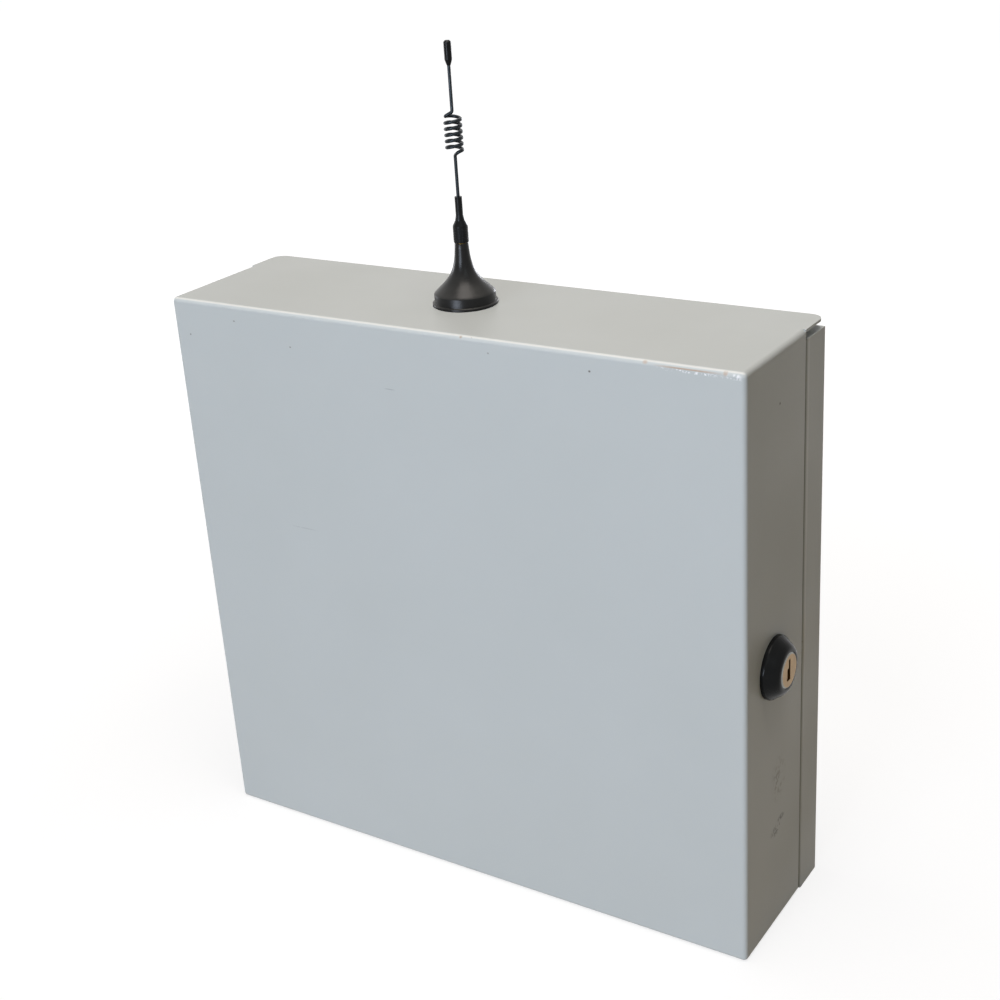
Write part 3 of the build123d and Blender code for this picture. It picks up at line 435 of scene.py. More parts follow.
@dataclass(frozen=True)
class SolderMask(Finish):
    """Green solder mask over copper on glass-epoxy laminate.

    It gives the eye a glossy green with paler runs of copper under it, tinned round pads and darker bare laminate.
    Sizes are in millimetres, and the runs are drawn about twice as wide as real ones so that they show.
    """

    track_colour: str = "#2c7a4a"
    block: float = 26.0
    level_above: float = 0.62
    upright_below: float = 0.42
    track_pitch: float = 2.4
    track_width: float = 0.55
    track_edge: float = 0.08
    track_height: float = 0.04
    relief_strength: float = 0.5
    pad_colour: str = "#c9c3ae"
    pad_pitch: float = 7.6
    pad_scatter: float = 0.8
    pad_limits: Pair = (0.075, 0.095)

    def runs(self, tree: NodeTree, flat: Node) -> Node:
        """Bundles of parallel copper runs, level in some blocks of the board and upright in others.

        Args:
            tree: The material's node tree.
            flat: Object coordinates laid flat on the board.

        Returns:
            The node that gives where the copper lies, from 0 to 1.
        """
        half = self.track_pitch * MM / 2
        blocks = add_node(tree, "TexVoronoi", {"Vector": flat, "Scale": per_mm(self.block)}, distance="CHEBYCHEV")
        choice = add_node(tree, "SeparateXYZ", {0: blocks.outputs["Color"]}).outputs[0]
        across, _, along = add_node(tree, "SeparateXYZ", {0: flat}).outputs
        bundles = ((across, "GREATER_THAN", self.level_above), (along, "LESS_THAN", self.upright_below))
        off: Node | float = half
        for axis, test, limit in bundles:
            chosen = add_node(tree, "Math", {0: choice, 1: limit}, operation=test)
            nearest = add_node(tree, "Math", {0: axis, 1: half}, operation="PINGPONG")
            off = add_node(tree, "Mix", {0: chosen, 2: off, 3: nearest})
        edge = self.track_width * MM / 2
        return add_node(tree, "MapRange", {0: off, 1: edge, 2: edge + self.track_edge * MM, 3: 1.0, 4: 0.0})

    def paint(self, tree: NodeTree, place: NodeSocket) -> dict[str, object]:
        """Copper runs and pads.

        Args:
            tree: The material's node tree.
            place: Object coordinates.

        Returns:
            What goes into the shader's inputs.
        """
        flat = add_node(tree, "Mapping", {0: place, 3: (1.0, 0.0, 1.0)})
        copper = self.runs(tree, flat)
        spots = {"Vector": flat, "Scale": per_mm(self.pad_pitch), "Randomness": self.pad_scatter}
        cells = add_node(tree, "TexVoronoi", spots).outputs["Distance"]
        full, none = self.pad_limits
        pads = add_node(tree, "MapRange", {0: cells, 1: full, 2: none, 3: 1.0, 4: 0.0})
        colour: Node | tuple[float, ...] = linear(self.colour)
        for mask, shade in ((copper, self.track_colour), (pads, self.pad_colour)):
            colour = add_node(tree, "Mix", {0: mask, 6: colour, 7: linear(shade)}, data_type="RGBA")
        relief = {"Strength": self.relief_strength, "Distance": self.track_height * MM, "Height": copper}
        return {"Base Color": colour, "Normal": add_node(tree, "Bump", relief)}


@dataclass(frozen=True)
class ClearGlass(Finish):
    """Drawn glass tube or a clear moulded lens.

    It gives the eye bright edge reflections, a faint tint and a slight haze in patches, sized in millimetres.
    """

    transmission: float = 0.9
    haze: float = 3.0
    haze_limits: Pair = (0.3, 0.7)
    haze_roughness: float = 0.08

    def paint(self, tree: NodeTree, place: NodeSocket) -> dict[str, object]:
        """Clearness and haze.

        Args:
            tree: The material's node tree.
            place: Object coordinates.

        Returns:
            What goes into the shader's inputs.
        """
        haze = add_node(tree, "TexNoise", {"Vector": place, "Scale": per_mm(self.haze), "Detail": 2.0})
        low, high = self.haze_limits
        hazy = self.roughness + self.haze_roughness
        gloss = add_node(tree, "MapRange", {0: haze, 1: low, 2: high, 3: self.roughness, 4: hazy})
        return {"Transmission Weight": self.transmission, "Roughness": gloss}


COVER_MARKS = (
    # Painted highlight: a bright thin line along the top front bend, where the bend catches the light
    Mark((0.0, -40.1, 279.7), (5000.0, 0.8, 0.8), "#f2f0e8", 0.55, 30.0, 0.2),
    Mark((123.5, -41.2, 278.5), (15.5, 1.1, 0.42), "#b39a84", 0.85, 6.0, 0.25, True),
    # Painted glints: white specks at the right end of the top front edge, where the rippled coat catches the light
    Mark((124.5, -41.2, 277.5), (15.5, 1.1, 0.75), "#ffffff", 1.0, 1.1, 0.56, True),
    Mark((143.0, -41.2, 277.9), (3.6, 1.1, 1.3), "#ffffff", 1.0, 1.1, 0.54, True),
    Mark((104.5, -41.0, 279.2), (1.5, 1.8, 1.0), "#c0a891", 0.6, 2.0, 0.4),
    Mark((139.4, -41.0, 279.0), (1.3, 1.8, 1.5), "#c0a891", 0.65, 2.0, 0.4),
    Mark((16.8, -41.2, 279.3), (1.0, 1.6, 0.7), "#b09a82", 0.8, 1.5, 0.3),
    Mark((79.2, -41.2, 272.1), (0.75, 1.1, 0.6), "#5b564d", 0.85, 1.5, 0.3),
    Mark((-110.1, -41.2, 272.3), (0.7, 1.1, 0.5), "#6f6c66", 0.7, 1.5, 0.3),
    Mark((-138.7, -41.2, 262.7), (0.6, 1.1, 0.6), "#6f6c66", 0.7, 1.5, 0.3),
    Mark((-77.8, -41.2, 263.5), (0.7, 1.1, 0.5), "#77746d", 0.7, 1.5, 0.3),
    Mark((30.4, -41.2, 273.8), (0.6, 1.1, 0.5), "#77746d", 0.7, 1.5, 0.3),
    Mark((-23.1, -41.2, 250.5), (3.6, 1.1, 0.4), "#a3a9ab", 0.6, 3.0, 0.4),
    Mark((-82.3, -41.2, 171.9), (10.0, 1.1, 0.4), "#a6abac", 0.4, 3.0, 0.45),
    Mark((148.0, -8.0, 256.7), (1.1, 0.7, 0.8), "#33322d", 0.9, 1.5, 0.3),
    Mark((148.0, -6.5, 78.0), (1.1, 8.5, 13.0), "#6f6a5e", 0.42, 2.2, 0.55),
    Mark((148.0, -3.5, 55.6), (1.1, 4.6, 1.9), "#3d3a32", 0.7, 1.4, 0.48),
    Mark((148.0, -9.0, 51.6), (1.1, 6.6, 3.4), "#3d3a32", 0.75, 1.5, 0.52),
)
PAN_PAINTED_HIGHLIGHT_AND_SHADE = (
    # Painted highlight: a pale band along the pan's front bend, where the bend catches the light
    Mark((148.0, 21.7, 210.0), (3.0, 1.3, 150.0), "#e9eceb", 0.5, 40.0, 0.2),
    # Painted shade: a dark band along the pan's front bend, where the narrow gap to the cover lies in shade
    Mark((148.0, 19.3, 137.0), (3.0, 1.2, 5000.0), "#34322e", 0.8, 20.0, 0.2),
)


class Palette:
    """All finishes of the controller, each made once as a material."""

    def __init__(self) -> None:
        """Makes the materials of the case, the lock, the antenna and the gear inside."""
        self.case()
        self.fittings()
        self.gear()

    def case(self) -> None:
        """Coated sheet of cover, pan and hinges."""
        grey = "#c9cecd"
        # Sprayed and baked coat on the cover, knocked along its top edge and scuffed low on its right side, with a
        # painted highlight along its top front bend and painted glints at that edge's right end
        self.cover = PowderCoat(
            "light_grey_powder_coat", grey, 0.4, low=(-148.0, -41.2, 0.0), high=(148.0, 41.2, 280.0), marks=COVER_MARKS
        ).material()
        # The same coat on the pan, with a painted highlight along its front bend and painted shade in the gap to the
        # cover
        self.pan = PowderCoat(
            "light_grey_powder_coat_pan", grey, 0.4, low=(-148.0, 19.3, 0.0), high=(148.0, 41.2, 275.4), marks=PAN_PAINTED_HIGHLIGHT_AND_SHADE
        ).material()
        # A thinner, slightly darker coat on the hinge leaves
        self.hinge = PowderCoat("light_grey_powder_coat_hinge", "#c5cac9", 0.42).material()
        # Drawn bright steel
        self.pin = Metal("drawn_steel_pin", "#a9a9a6", 0.3, 1.0).material()

    def fittings(self) -> None:
        """Black mouldings and the metals of lock and antenna."""
        # Satin black, greyed by dust on the foot's slopes, laid on thickly enough to be a painted sheen from the light
        # above as well
        self.black = Moulding("black_moulded_polyamide", "#050505", 0.33, dust_and_sheen=0.19, shine=0.21).material()
        # Deep black from a polished mould, with small sharp highlights
        self.gloss_black = Moulding("glossy_black_polyamide", "#131414", 0.22, dust_and_sheen=0.02, shine=0.08).material()
        # Chemically blackened turned steel, dark with a dull metal sheen
        self.black_metal = Metal(
            "blackened_steel", "#101112", 0.32, 0.8, tarnish_colour="#0e0e0e", stretch=(1.0, 1.0, 6.0)
        ).material()
        # Hard-drawn wire with a dark oiled skin
        self.wire = Metal(
            "oiled_spring_wire", "#23282b", 0.34, 0.85, tarnish_colour="#15171a", tarnish=3.0
        ).material()
        # Bright grey plate on a casting, with no lines
        self.plating = Metal(
            "nickel_plated_zinc", "#85857f", 0.24, 1.0, stretch=(1.0, 1.0, 1.0), tarnish_share=0.4
        ).material()
        # Nickel rubbed through to warm brass by keys
        self.core = Metal(
            "worn_nickel_brass", "#8a6d43", 0.34, 1.0, stretch=(1.0, 1.0, 8.0), tarnish_colour="#6b5433"
        ).material()
        # Bluish bright plate with greyer patches
        self.zinc = Metal("zinc_plated_steel", "#b9bbb8", 0.32, 1.0, tarnish_colour="#8c8a7d").material()
        # Yellow turned metal, and the same with a fine thread
        self.brass = Metal("turned_brass", "#c9a24e", 0.28, 1.0, tarnish_colour="#7d5f2b").material()
        self.brass_thread = Metal("threaded_brass", "#c9a24e", 0.28, 1.0, thread=0.7).material()
        # Pressed and fired powder, dull charcoal
        self.ferrite = Moulding("sintered_ferrite", "#2b2b2c", 0.6, grain=0.3, grain_depth=0.03).material()

    def gear(self) -> None:
        """Boards, cases, cans and buttons of the control gear."""
        # Rolled sheet with long faint lines
        self.aluminium = Metal(
            "mill_finish_aluminium", "#b4b6b6", 0.36, 1.0, stretch=(1.0, 1.0, 30.0), tarnish=14.0
        ).material()
        # Glossy green with paler copper under it
        self.board = SolderMask("green_solder_mask", "#0f4a2a", 0.3).material()
        # Matt dark grey, pressed in a steel mould
        self.component = Moulding("black_epoxy_moulding", "#1c1c1d", 0.5, grain=0.3, dust_and_sheen=0.04).material()
        # Smooth, slightly wavy blue case
        self.relay = Moulding("blue_polyester_case", "#1c4a8c", 0.32, grain=0.8, grain_depth=0.006).material()
        # Satin mid green
        self.terminal = Moulding("green_polyamide_terminal", "#2f8a48", 0.4).material()
        # Milky clear lens of a light that is off
        self.lens = ClearGlass("clear_moulded_lens", "#e8e6d8", 0.12, transmission=0.35).material()
        # Deep-drawn bright can with no lines
        self.cell = Metal("stainless_cell_can", "#c4c4c1", 0.24, 1.0, stretch=(1.0, 1.0, 1.0)).material()
        # Clear tube with bright edges
        self.glass = ClearGlass("drawn_fuse_glass", "#dfe6e4", 0.03).material()
        # Pale grey tin, rolled along the board
        self.tin = Metal("tinned_steel", "#bdbdb8", 0.3, 1.0, stretch=(20.0, 1.0, 1.0), tarnish=10.0).material()
        # Tight, glossy, slightly rippled dark film
        self.sleeve = Moulding("shrink_sleeve", "#161a2a", 0.28, grain=1.2, grain_depth=0.008).material()
        # Smooth waxy caps
        self.red = Moulding("red_button_acetal", "#a3221c", 0.35).material()
        self.white = Moulding("white_button_acetal", "#d6d5cf", 0.35).material()
        # Small fired bodies with a brownish black glaze
        self.ceramic = Moulding("black_glazed_chip", "#26221f", 0.35, grain=0.2).material()


# Modelling


class Workbench:
    """Modelling steps made with operators, one piece at a time."""

    @staticmethod
    def leave() -> None:
        """Goes back to object mode."""
        bpy.ops.object.mode_set(mode="OBJECT")

    @staticmethod
    def clear() -> None:
        """Leaves edit mode and deselects everything."""
        if bpy.context.object is not None and bpy.context.object.mode != "OBJECT":
            Workbench.leave()
        bpy.ops.object.select_all(action="DESELECT")

    @staticmethod
    def only(piece: Piece) -> None:
        """Selects one object and makes it active.

        Args:
            piece: The object.
        """
        Workbench.clear()
        piece.select_set(True)
        bpy.context.view_layer.objects.active = piece

    @staticmethod
    def pick(piece: Piece, part: Part, test: Callable[[object], bool]) -> None:
        """Selects the faces or edges of a piece in edit mode that pass a test.

        Args:
            piece: The object in edit mode.
            part: What is picked.
            test: Takes a face or edge of the mesh.
        """
        bpy.ops.mesh.select_mode(type=part.value)
        bpy.ops.mesh.select_all(action="DESELECT")
        mesh = bmesh.from_edit_mesh(piece.data)
        for element in mesh.faces if part is Part.FACES else mesh.edges:
            if test(element):
                element.select_set(True)
        mesh.select_flush_mode()
        bmesh.update_edit_mesh(piece.data)

    @staticmethod
    def extrude(*way: float) -> None:
        """Extrudes what is selected by a way in millimetres."""
        bpy.ops.mesh.extrude_region_move(TRANSFORM_OT_translate={"value": mm(*way)})

    @staticmethod
    def bevel(width: float, segments: int = 2) -> None:
        """Rounds the selected edges by a width in millimetres."""
        bpy.ops.mesh.bevel(offset=width * MM, segments=segments, affect="EDGES")

    @staticmethod
    def weld() -> None:
        """Merges doubled points, turns all faces outwards and goes back to object mode."""
        bpy.ops.mesh.select_all(action="SELECT")
        bpy.ops.mesh.remove_doubles(threshold=WELD)
        bpy.ops.mesh.normals_make_consistent(inside=False)
        Workbench.leave()

    @staticmethod
    def block(size: Vector, centre: Vector) -> Piece:
        """A cube primitive brought to its size and place, active in edit mode.

        Args:
            size: Its three lengths.
            centre: Its middle.

        Returns:
            The object, with all its mesh selected.
        """
        Workbench.clear()
        bpy.ops.mesh.primitive_cube_add(size=1.0)
        piece = bpy.context.object
        bpy.ops.object.mode_set(mode="EDIT")
        bpy.ops.transform.resize(value=size, center_override=(0.0, 0.0, 0.0))
        bpy.ops.transform.translate(value=centre)
        return piece

    @staticmethod
    def turned(profile: Sequence[Pair], steps: int) -> Piece:
        """A piece spun about Z from its half section.

        Args:
            profile: Radius and height of each point in millimetres, from axis to axis or as a closed ring.
            steps: Faces round the piece.

        Returns:
            The object in object mode.
        """
        Workbench.clear()
        bpy.ops.mesh.primitive_plane_add(size=MM)
        piece = bpy.context.object
        bpy.ops.object.mode_set(mode="EDIT")
        bpy.ops.mesh.select_mode(type="VERT")
        bpy.ops.mesh.select_all(action="SELECT")
        bpy.ops.mesh.merge(type="CENTER")
        bpy.ops.transform.translate(value=mm(profile[0][0], 0.0, profile[0][1]))
        for (radius, height), (last_radius, last_height) in zip(profile[1:], profile):
            step = mm(radius - last_radius, 0.0, height - last_height)
            bpy.ops.mesh.extrude_vertices_move(TRANSFORM_OT_translate={"value": step})
        bpy.ops.mesh.select_all(action="SELECT")
        bpy.ops.mesh.spin(steps=steps, angle=2 * math.pi, center=(0.0, 0.0, 0.0), axis=(0.0, 0.0, 1.0))
        Workbench.weld()
        return piece

    @staticmethod
    def cut(piece: Piece, tool: Piece) -> None:
        """Takes one closed piece out of another and removes the tool.

        Args:
            piece: What is cut.
            tool: What is taken out of it.
        """
        Workbench.only(piece)
        modifier = piece.modifiers.new("cut", "BOOLEAN")
        modifier.operation = "DIFFERENCE"
        modifier.solver = "EXACT"
        modifier.object = tool
        bpy.ops.object.modifier_apply(modifier=modifier.name)
        bpy.data.objects.remove(tool)

    @staticmethod
    def place(piece: Piece, at: Vector, facing: Facing = Facing.UP) -> Piece:
        """Turns and moves a piece, with its place in its mesh.

        Args:
            piece: The object, made about the origin.
            at: Where its origin goes.
            facing: The way that its +Z then points.

        Returns:
            The same object.
        """
        Workbench.only(piece)
        piece.rotation_euler = facing.value
        piece.location = at
        bpy.ops.object.transform_apply(location=True, rotation=True, scale=True)
        return piece

    @staticmethod
    def join(pieces: Sequence[Piece]) -> Piece:
        """Joins pieces.

        Args:
            pieces: The objects, with the one that takes up the others first.

        Returns:
            The joined object.
        """
        Workbench.only(pieces[0])
        for other in pieces[1:]:
            other.select_set(True)
        if len(pieces) > 1:
            bpy.ops.object.join()
        return pieces[0]

    @staticmethod
    def copies(piece: Piece, places: Iterable[Vector]) -> Piece:
        """Sets copies of a piece at places and joins them.

        Args:
            piece: The object, made about the origin. It goes to the first place itself.
            places: Where its origin goes.

        Returns:
            The joined object.
        """
        first, *rest = places
        twins = []
        for spot in rest:
            twin = piece.copy()
            twin.data = piece.data.copy()
            bpy.context.scene.collection.objects.link(twin)
            twins.append(Workbench.place(twin, spot))
        Workbench.place(piece, first)
        return Workbench.join([piece, *twins])

    @staticmethod
    def done(piece: Piece, name: str, body: Body, finish: Material, slot: str, angle: float = 35.0) -> None:
        """Names a piece, shades it, gives it its finish and its body.

        Args:
            piece: The finished object.
            name: The piece's name.
            body: The body that it rides on.
            finish: Its material.
            slot: The record's material slot that the finish belongs to. It is not used.
            angle: Edges flatter than this many degrees are shaded smooth.
        """
        Workbench.only(piece)
        bpy.ops.object.transform_apply(location=True, rotation=True, scale=True)
        bpy.ops.object.shade_smooth_by_angle(angle=math.radians(angle))
        piece.name = name
        piece.data.name = name
        piece.data.materials.clear()
        piece.data.materials.append(finish)
        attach(piece, body.value)
        LOG.info("%s rides on %s with %d faces", name, body.value, len(piece.data.polygons))


@dataclass(frozen=True)
class ScrewHead:
    """A domed screw head with a straight slot, in millimetres.

    Each point of its dome is a share of the radius and a share of the height.
    """

    radius: float
    height: float
    slot: float
    sides: int = 20
    dome: tuple[Pair, ...] = ((1.0, 0.0), (1.0, 0.45), (0.86, 0.8), (0.5, 1.0), (0.0, 1.0))

    def make(self) -> Piece:
        """One head, standing on the XY plane.

        Returns:
            The object in object mode.
        """
        dome = [(self.radius * across, self.height * up) for across, up in self.dome]
        head = Workbench.turned([(0.0, 0.0), *dome], self.sides)
        blade = Workbench.block(mm(self.radius * 3, self.slot, self.height), mm(0.0, 0.0, self.height))
        Workbench.leave()
        Workbench.cut(head, blade)
        return head

    def rows(
        self,
        name: str,
        places: Iterable[Vector],
        palette: Palette,
        body: Body = Body.REAR_BOX,
        facing: Facing = Facing.FRONT_TURNED,
    ) -> Piece:
        """Sets zinc-plated heads.

        Args:
            name: The piece's name.
            places: Where the heads stand.
            palette: The finishes.
            body: The body that they ride on.
            facing: The way that they face.

        Returns:
            All heads as one piece.
        """
        heads = Workbench.copies(Workbench.place(self.make(), Vector(), facing), places)
        Workbench.done(heads, name, body, palette.zinc, "zinc_plated_steel")
        return heads


@dataclass(frozen=True)
class Clamp:
    """A square plate with its slotted screw on a terminal strip, facing the front, in millimetres."""

    screw: ScrewHead
    side: float
    thickness: float = 1.2
    edge: float = 0.25

    def rows(self, name: str, places: Iterable[Vector], palette: Palette) -> None:
        """Sets the clamps of one strip.

        Args:
            name: The piece's name.
            places: Where the plates lie on their strip.
            palette: The finishes.
        """
        plate = Workbench.block(mm(self.side, self.thickness, self.side), mm(0.0, -self.thickness / 2, 0.0))
        Workbench.bevel(self.edge)
        Workbench.leave()
        head = Workbench.place(self.screw.make(), mm(0.0, -self.thickness, 0.0), Facing.FRONT_TURNED)
        clamps = Workbench.copies(Workbench.join([plate, head]), places)
        Workbench.done(clamps, name, Body.REAR_BOX, palette.zinc, "zinc_plated_steel")


# Sub-assemblies


@dataclass
class Assembly:
    """What every sub-assembly works with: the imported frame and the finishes."""

    frame: dict
    palette: Palette

    def build(self) -> None:
        """Dresses the solids and adds the small pieces."""
        raise NotImplementedError

    def dress(self, finish: Material, *nodes: str) -> None:
        """Puts a finish in the material slots of CAD nodes.

        Args:
            finish: The material.
            *nodes: The nodes' names.
        """
        for name in nodes:
            piece = self.frame["nodes"][name]
            if not piece.material_slots:
                piece.data.materials.append(finish)
            for place in piece.material_slots:
                place.material = finish


@dataclass
class Case(Assembly):
    """Cover, pan, hinges and the earth stud."""

    leaf_outer_x: float = -149.1
    leaf_screw_z: tuple[float, ...] = (210.0, 225.0, 240.0, 40.0, 55.0, 70.0)
    cover_screw_y: float = 7.0
    pan_screw_y: float = 30.6
    screw: ScrewHead = ScrewHead(2.3, 0.8, 0.6)

    def build(self) -> None:
        """Dresses the solids and adds the hinge screws."""
        self.dress(self.palette.cover, "front_cover")
        self.dress(self.palette.pan, "rear_pan")
        leaves = [f"{end}_hinge_{side}_leaf" for end in ("upper", "lower") for side in ("pan", "cover")]
        self.dress(self.palette.hinge, *leaves)
        self.dress(self.palette.pin, "upper_hinge_pin", "lower_hinge_pin")
        self.dress(self.palette.zinc, "earth_stud", "earth_nut")
        rows = (
            ("cover_hinge_screws", Body.COVER, self.cover_screw_y),
            ("pan_hinge_screws", Body.REAR_BOX, self.pan_screw_y),
        )
        for name, body, y in rows:
            places = [mm(self.leaf_outer_x, y, z) for z in self.leaf_screw_z]
            self.screw.rows(name, places, self.palette, body, Facing.LEFT)


@dataclass
class CamLock(Assembly):
    """The lock in the right side: shroud, housing, core, nut and cam."""

    axis: Point = (148.0, -13.0, 138.0)
    bore: float = 6.05
    seat: float = 5.3
    well: float = 8.15
    well_rim: float = 7.1
    sides: int = 72
    smooth: float = 50.0
    profile: tuple[Pair, ...] = (
        (14.5, 0.0), (14.5, 1.4), (14.38, 1.85), (14.0, 2.45), (13.4, 3.2), (12.75, 4.1), (12.1, 5.0), (11.35, 5.9),
        (10.6, 6.6), (9.9, 7.0), (9.25, 7.16), (8.75, 7.2), (8.35, 7.2),
    )

    def build(self) -> None:
        """Dresses the solids and sets the rounded shroud."""
        self.dress(self.palette.plating, "lock_barrel")
        self.dress(self.palette.core, "lock_plug")
        self.dress(self.palette.zinc, "lock_nut", "lock_cam", "cam_screw")
        inside = [(self.well, self.well_rim), (self.well, self.seat), (self.bore, self.seat), (self.bore, 0.0)]
        shroud = Workbench.turned([*self.profile, *inside, self.profile[0]], self.sides)
        Workbench.place(shroud, mm(*self.axis), Facing.RIGHT)
        Workbench.done(
            shroud, "rounded_lock_shroud", Body.COVER, self.palette.gloss_black, "black_moulding", self.smooth
        )
        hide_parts("lock_shroud")


@dataclass(frozen=True)
class Crank:
    """The slanted bend between the whip's axis and one end of its coil, in millimetres.

    Its side is the coil's end, +1 or -1 along X, and its rise is -1 for the lower rod and +1 for the upper one.
    """

    level: float
    side: float
    rise: float
    coil_radius: float
    drop: float
    bend_radius: float

    @property
    def knee(self) -> Vector:
        """Where the slanted stretch would meet the axis."""
        return Vector((0.0, 0.0, self.level + self.rise * self.drop))

    @property
    def slope(self) -> Vector:
        """From the knee to the coil's end."""
        return Vector((self.side * self.coil_radius, 0.0, -self.rise * self.drop))

    @property
    def turn(self) -> float:
        """The angle between the slope and the straight stretch."""
        return math.asin(self.bend_radius / (self.slope.length - self.bend_radius))

    @property
    def way(self) -> Vector:
        """Along the straight stretch, from the axis outwards."""
        across = Vector((0.0, self.rise * self.side, 0.0))
        return self.slope.normalized() * math.cos(self.turn) + across * math.sin(self.turn)

    @property
    def straight(self) -> float:
        """Length of the straight stretch."""
        return (self.slope.length - self.bend_radius) * math.cos(self.turn) - self.cut_back

    @property
    def cut_back(self) -> float:
        """From the knee to either end of its bend."""
        return self.bend_radius * math.tan(self.knee_angle / 2)

    @property
    def knee_angle(self) -> float:
        """How far the wire turns at the knee."""
        return self.way.angle(Vector((0.0, 0.0, -self.rise)))

    @property
    def knee_axis(self) -> Vector:
        """What the bend at the knee turns about."""
        return Vector((0.0, 0.0, 1.0)).cross(self.way).normalized()

    @property
    def knee_centre(self) -> Vector:
        """Middle of the bend at the knee."""
        sideways = Vector((self.way.x, self.way.y, 0.0)).normalized()
        return self.knee + Vector((0.0, 0.0, self.rise * self.cut_back)) + sideways * self.bend_radius

    @property
    def coil_angle(self) -> float:
        """How far the wire turns between the straight stretch and the coil."""
        return math.pi / 2 + self.turn

    @property
    def coil_axis(self) -> Vector:
        """What the bend at the coil turns about."""
        return self.slope.cross(Vector((0.0, 1.0, 0.0))).normalized() * self.side

    @property
    def coil_centre(self) -> Vector:
        """Middle of the bend at the coil."""
        return self.knee + self.slope.normalized() * (self.slope.length - self.bend_radius)


@dataclass
class Antenna(Assembly):
    """The magnet-foot antenna: flared foot, stud, knurled ferrule, coiled whip and tip."""

    place: Point = (-7.7, 0.7, 280.0)
    foot_profile: tuple[Pair, ...] = (
        (0.0, 3.4), (11.7, 3.4), (11.7, 0.0), (14.6, 0.0), (14.85, 0.25), (14.85, 1.0), (14.6, 1.3), (13.95, 1.42),
        (13.9, 1.6), (13.9, 5.2), (13.75, 5.5), (13.0, 6.25), (11.9, 7.3), (10.4, 8.7), (9.1, 9.95), (7.95, 11.2),
        (6.95, 12.5), (6.1, 13.8), (5.35, 15.2), (4.75, 16.7), (4.25, 18.4), (3.83, 20.2), (3.5, 22.4), (3.25, 25.0),
        (3.1, 27.6), (2.95, 27.88), (1.55, 27.88), (1.55, 23.9), (0.0, 23.9),
    )
    foot_sides: int = 96
    foot_smooth: float = 40.0
    grip: Pair = (28.27, 35.0)
    grip_radius: float = 3.3
    grip_ridge: float = 0.16
    grip_columns: int = 34
    grip_rows: int = 9
    grip_smooth: float = 5.0
    wire_radius: float = 0.75
    wire_sides: int = 14
    wire_smooth: float = 60.0
    wire_foot: float = 42.45
    wire_top: float = 108.8
    coil_low: float = 68.65
    coil_radius: float = 3.4
    coil_pitch: float = 2.63
    coil_steps: int = 16
    half_turns: int = 11
    bend_steps: int = 8
    bend_radius: float = 1.25
    crank_drop: float = 2.0

    def build(self) -> None:
        """Dresses the solids and sets the smooth foot, the grip and the round wire."""
        self.dress(self.palette.gloss_black, "antenna_tip")
        self.dress(self.palette.black_metal, "antenna_ferrule")
        self.dress(self.palette.brass, "antenna_stud")
        self.dress(self.palette.ferrite, "antenna_magnet")
        self.foot()
        self.knurled_grip()
        self.whip()

    def foot(self) -> None:
        """Spins the flared foot in one smooth sweep."""
        foot = Workbench.place(Workbench.turned(self.foot_profile, self.foot_sides), mm(*self.place))
        Workbench.done(foot, "flared_antenna_foot", Body.COVER, self.palette.black, "black_moulding", self.foot_smooth)
        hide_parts("antenna_foot")

    def knurled_grip(self) -> None:
        """Cuts the ferrule's grip into rows of small pyramids."""
        low, high = self.grip
        Workbench.clear()
        bpy.ops.mesh.primitive_cylinder_add(
            vertices=self.grip_columns, radius=self.grip_radius * MM, depth=(high - low) * MM
        )
        grip = bpy.context.object
        bpy.ops.object.mode_set(mode="EDIT")
        Workbench.pick(grip, Part.EDGES, lambda edge: abs((edge.verts[0].co - edge.verts[1].co).z) > MM)
        bpy.ops.mesh.subdivide(number_cuts=self.grip_rows - 1)
        Workbench.pick(grip, Part.FACES, lambda face: abs(face.normal.z) < SQUARE_ON)
        bpy.ops.mesh.poke(offset=self.grip_ridge * MM)
        Workbench.leave()
        x, y, z = self.place
        Workbench.place(grip, mm(x, y, z + (low + high) / 2))
        Workbench.done(grip, "knurled_grip", Body.COVER, self.palette.black_metal, "blackened_metal", self.grip_smooth)

    def whip(self) -> None:
        """Draws the whip's wire by extruding and spinning its round end from foot to top."""
        Workbench.clear()
        bpy.ops.mesh.primitive_circle_add(
            vertices=self.wire_sides,
            radius=self.wire_radius * MM,
            fill_type="NGON",
            location=mm(0.0, 0.0, self.wire_foot),
        )
        wire = bpy.context.object
        bpy.ops.object.transform_apply(location=True)
        bpy.ops.object.mode_set(mode="EDIT")
        bpy.ops.mesh.select_mode(type="FACE")
        bpy.ops.mesh.select_all(action="SELECT")
        lower, upper = self.cranks()
        Workbench.extrude(0.0, 0.0, lower.knee.z - lower.cut_back - self.wire_foot)
        self.arc(lower.knee_centre, lower.knee_axis, lower.knee_angle, self.bend_steps)
        Workbench.extrude(*(lower.way * lower.straight))
        self.arc(lower.coil_centre, lower.coil_axis, lower.coil_angle, self.bend_steps)
        for index in range(self.half_turns):
            self.half_coil(index)
        self.arc(upper.coil_centre, upper.coil_axis, upper.coil_angle, self.bend_steps)
        Workbench.extrude(*(-upper.way * upper.straight))
        self.arc(upper.knee_centre, upper.knee_axis, upper.knee_angle, self.bend_steps)
        Workbench.extrude(0.0, 0.0, self.wire_top - upper.knee.z - upper.cut_back)
        bpy.ops.mesh.select_mode(type="VERT")
        Workbench.weld()
        Workbench.place(wire, mm(*self.place))
        Workbench.done(wire, "round_whip_wire", Body.COVER, self.palette.wire, "spring_steel", self.wire_smooth)
        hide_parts("antenna_whip")

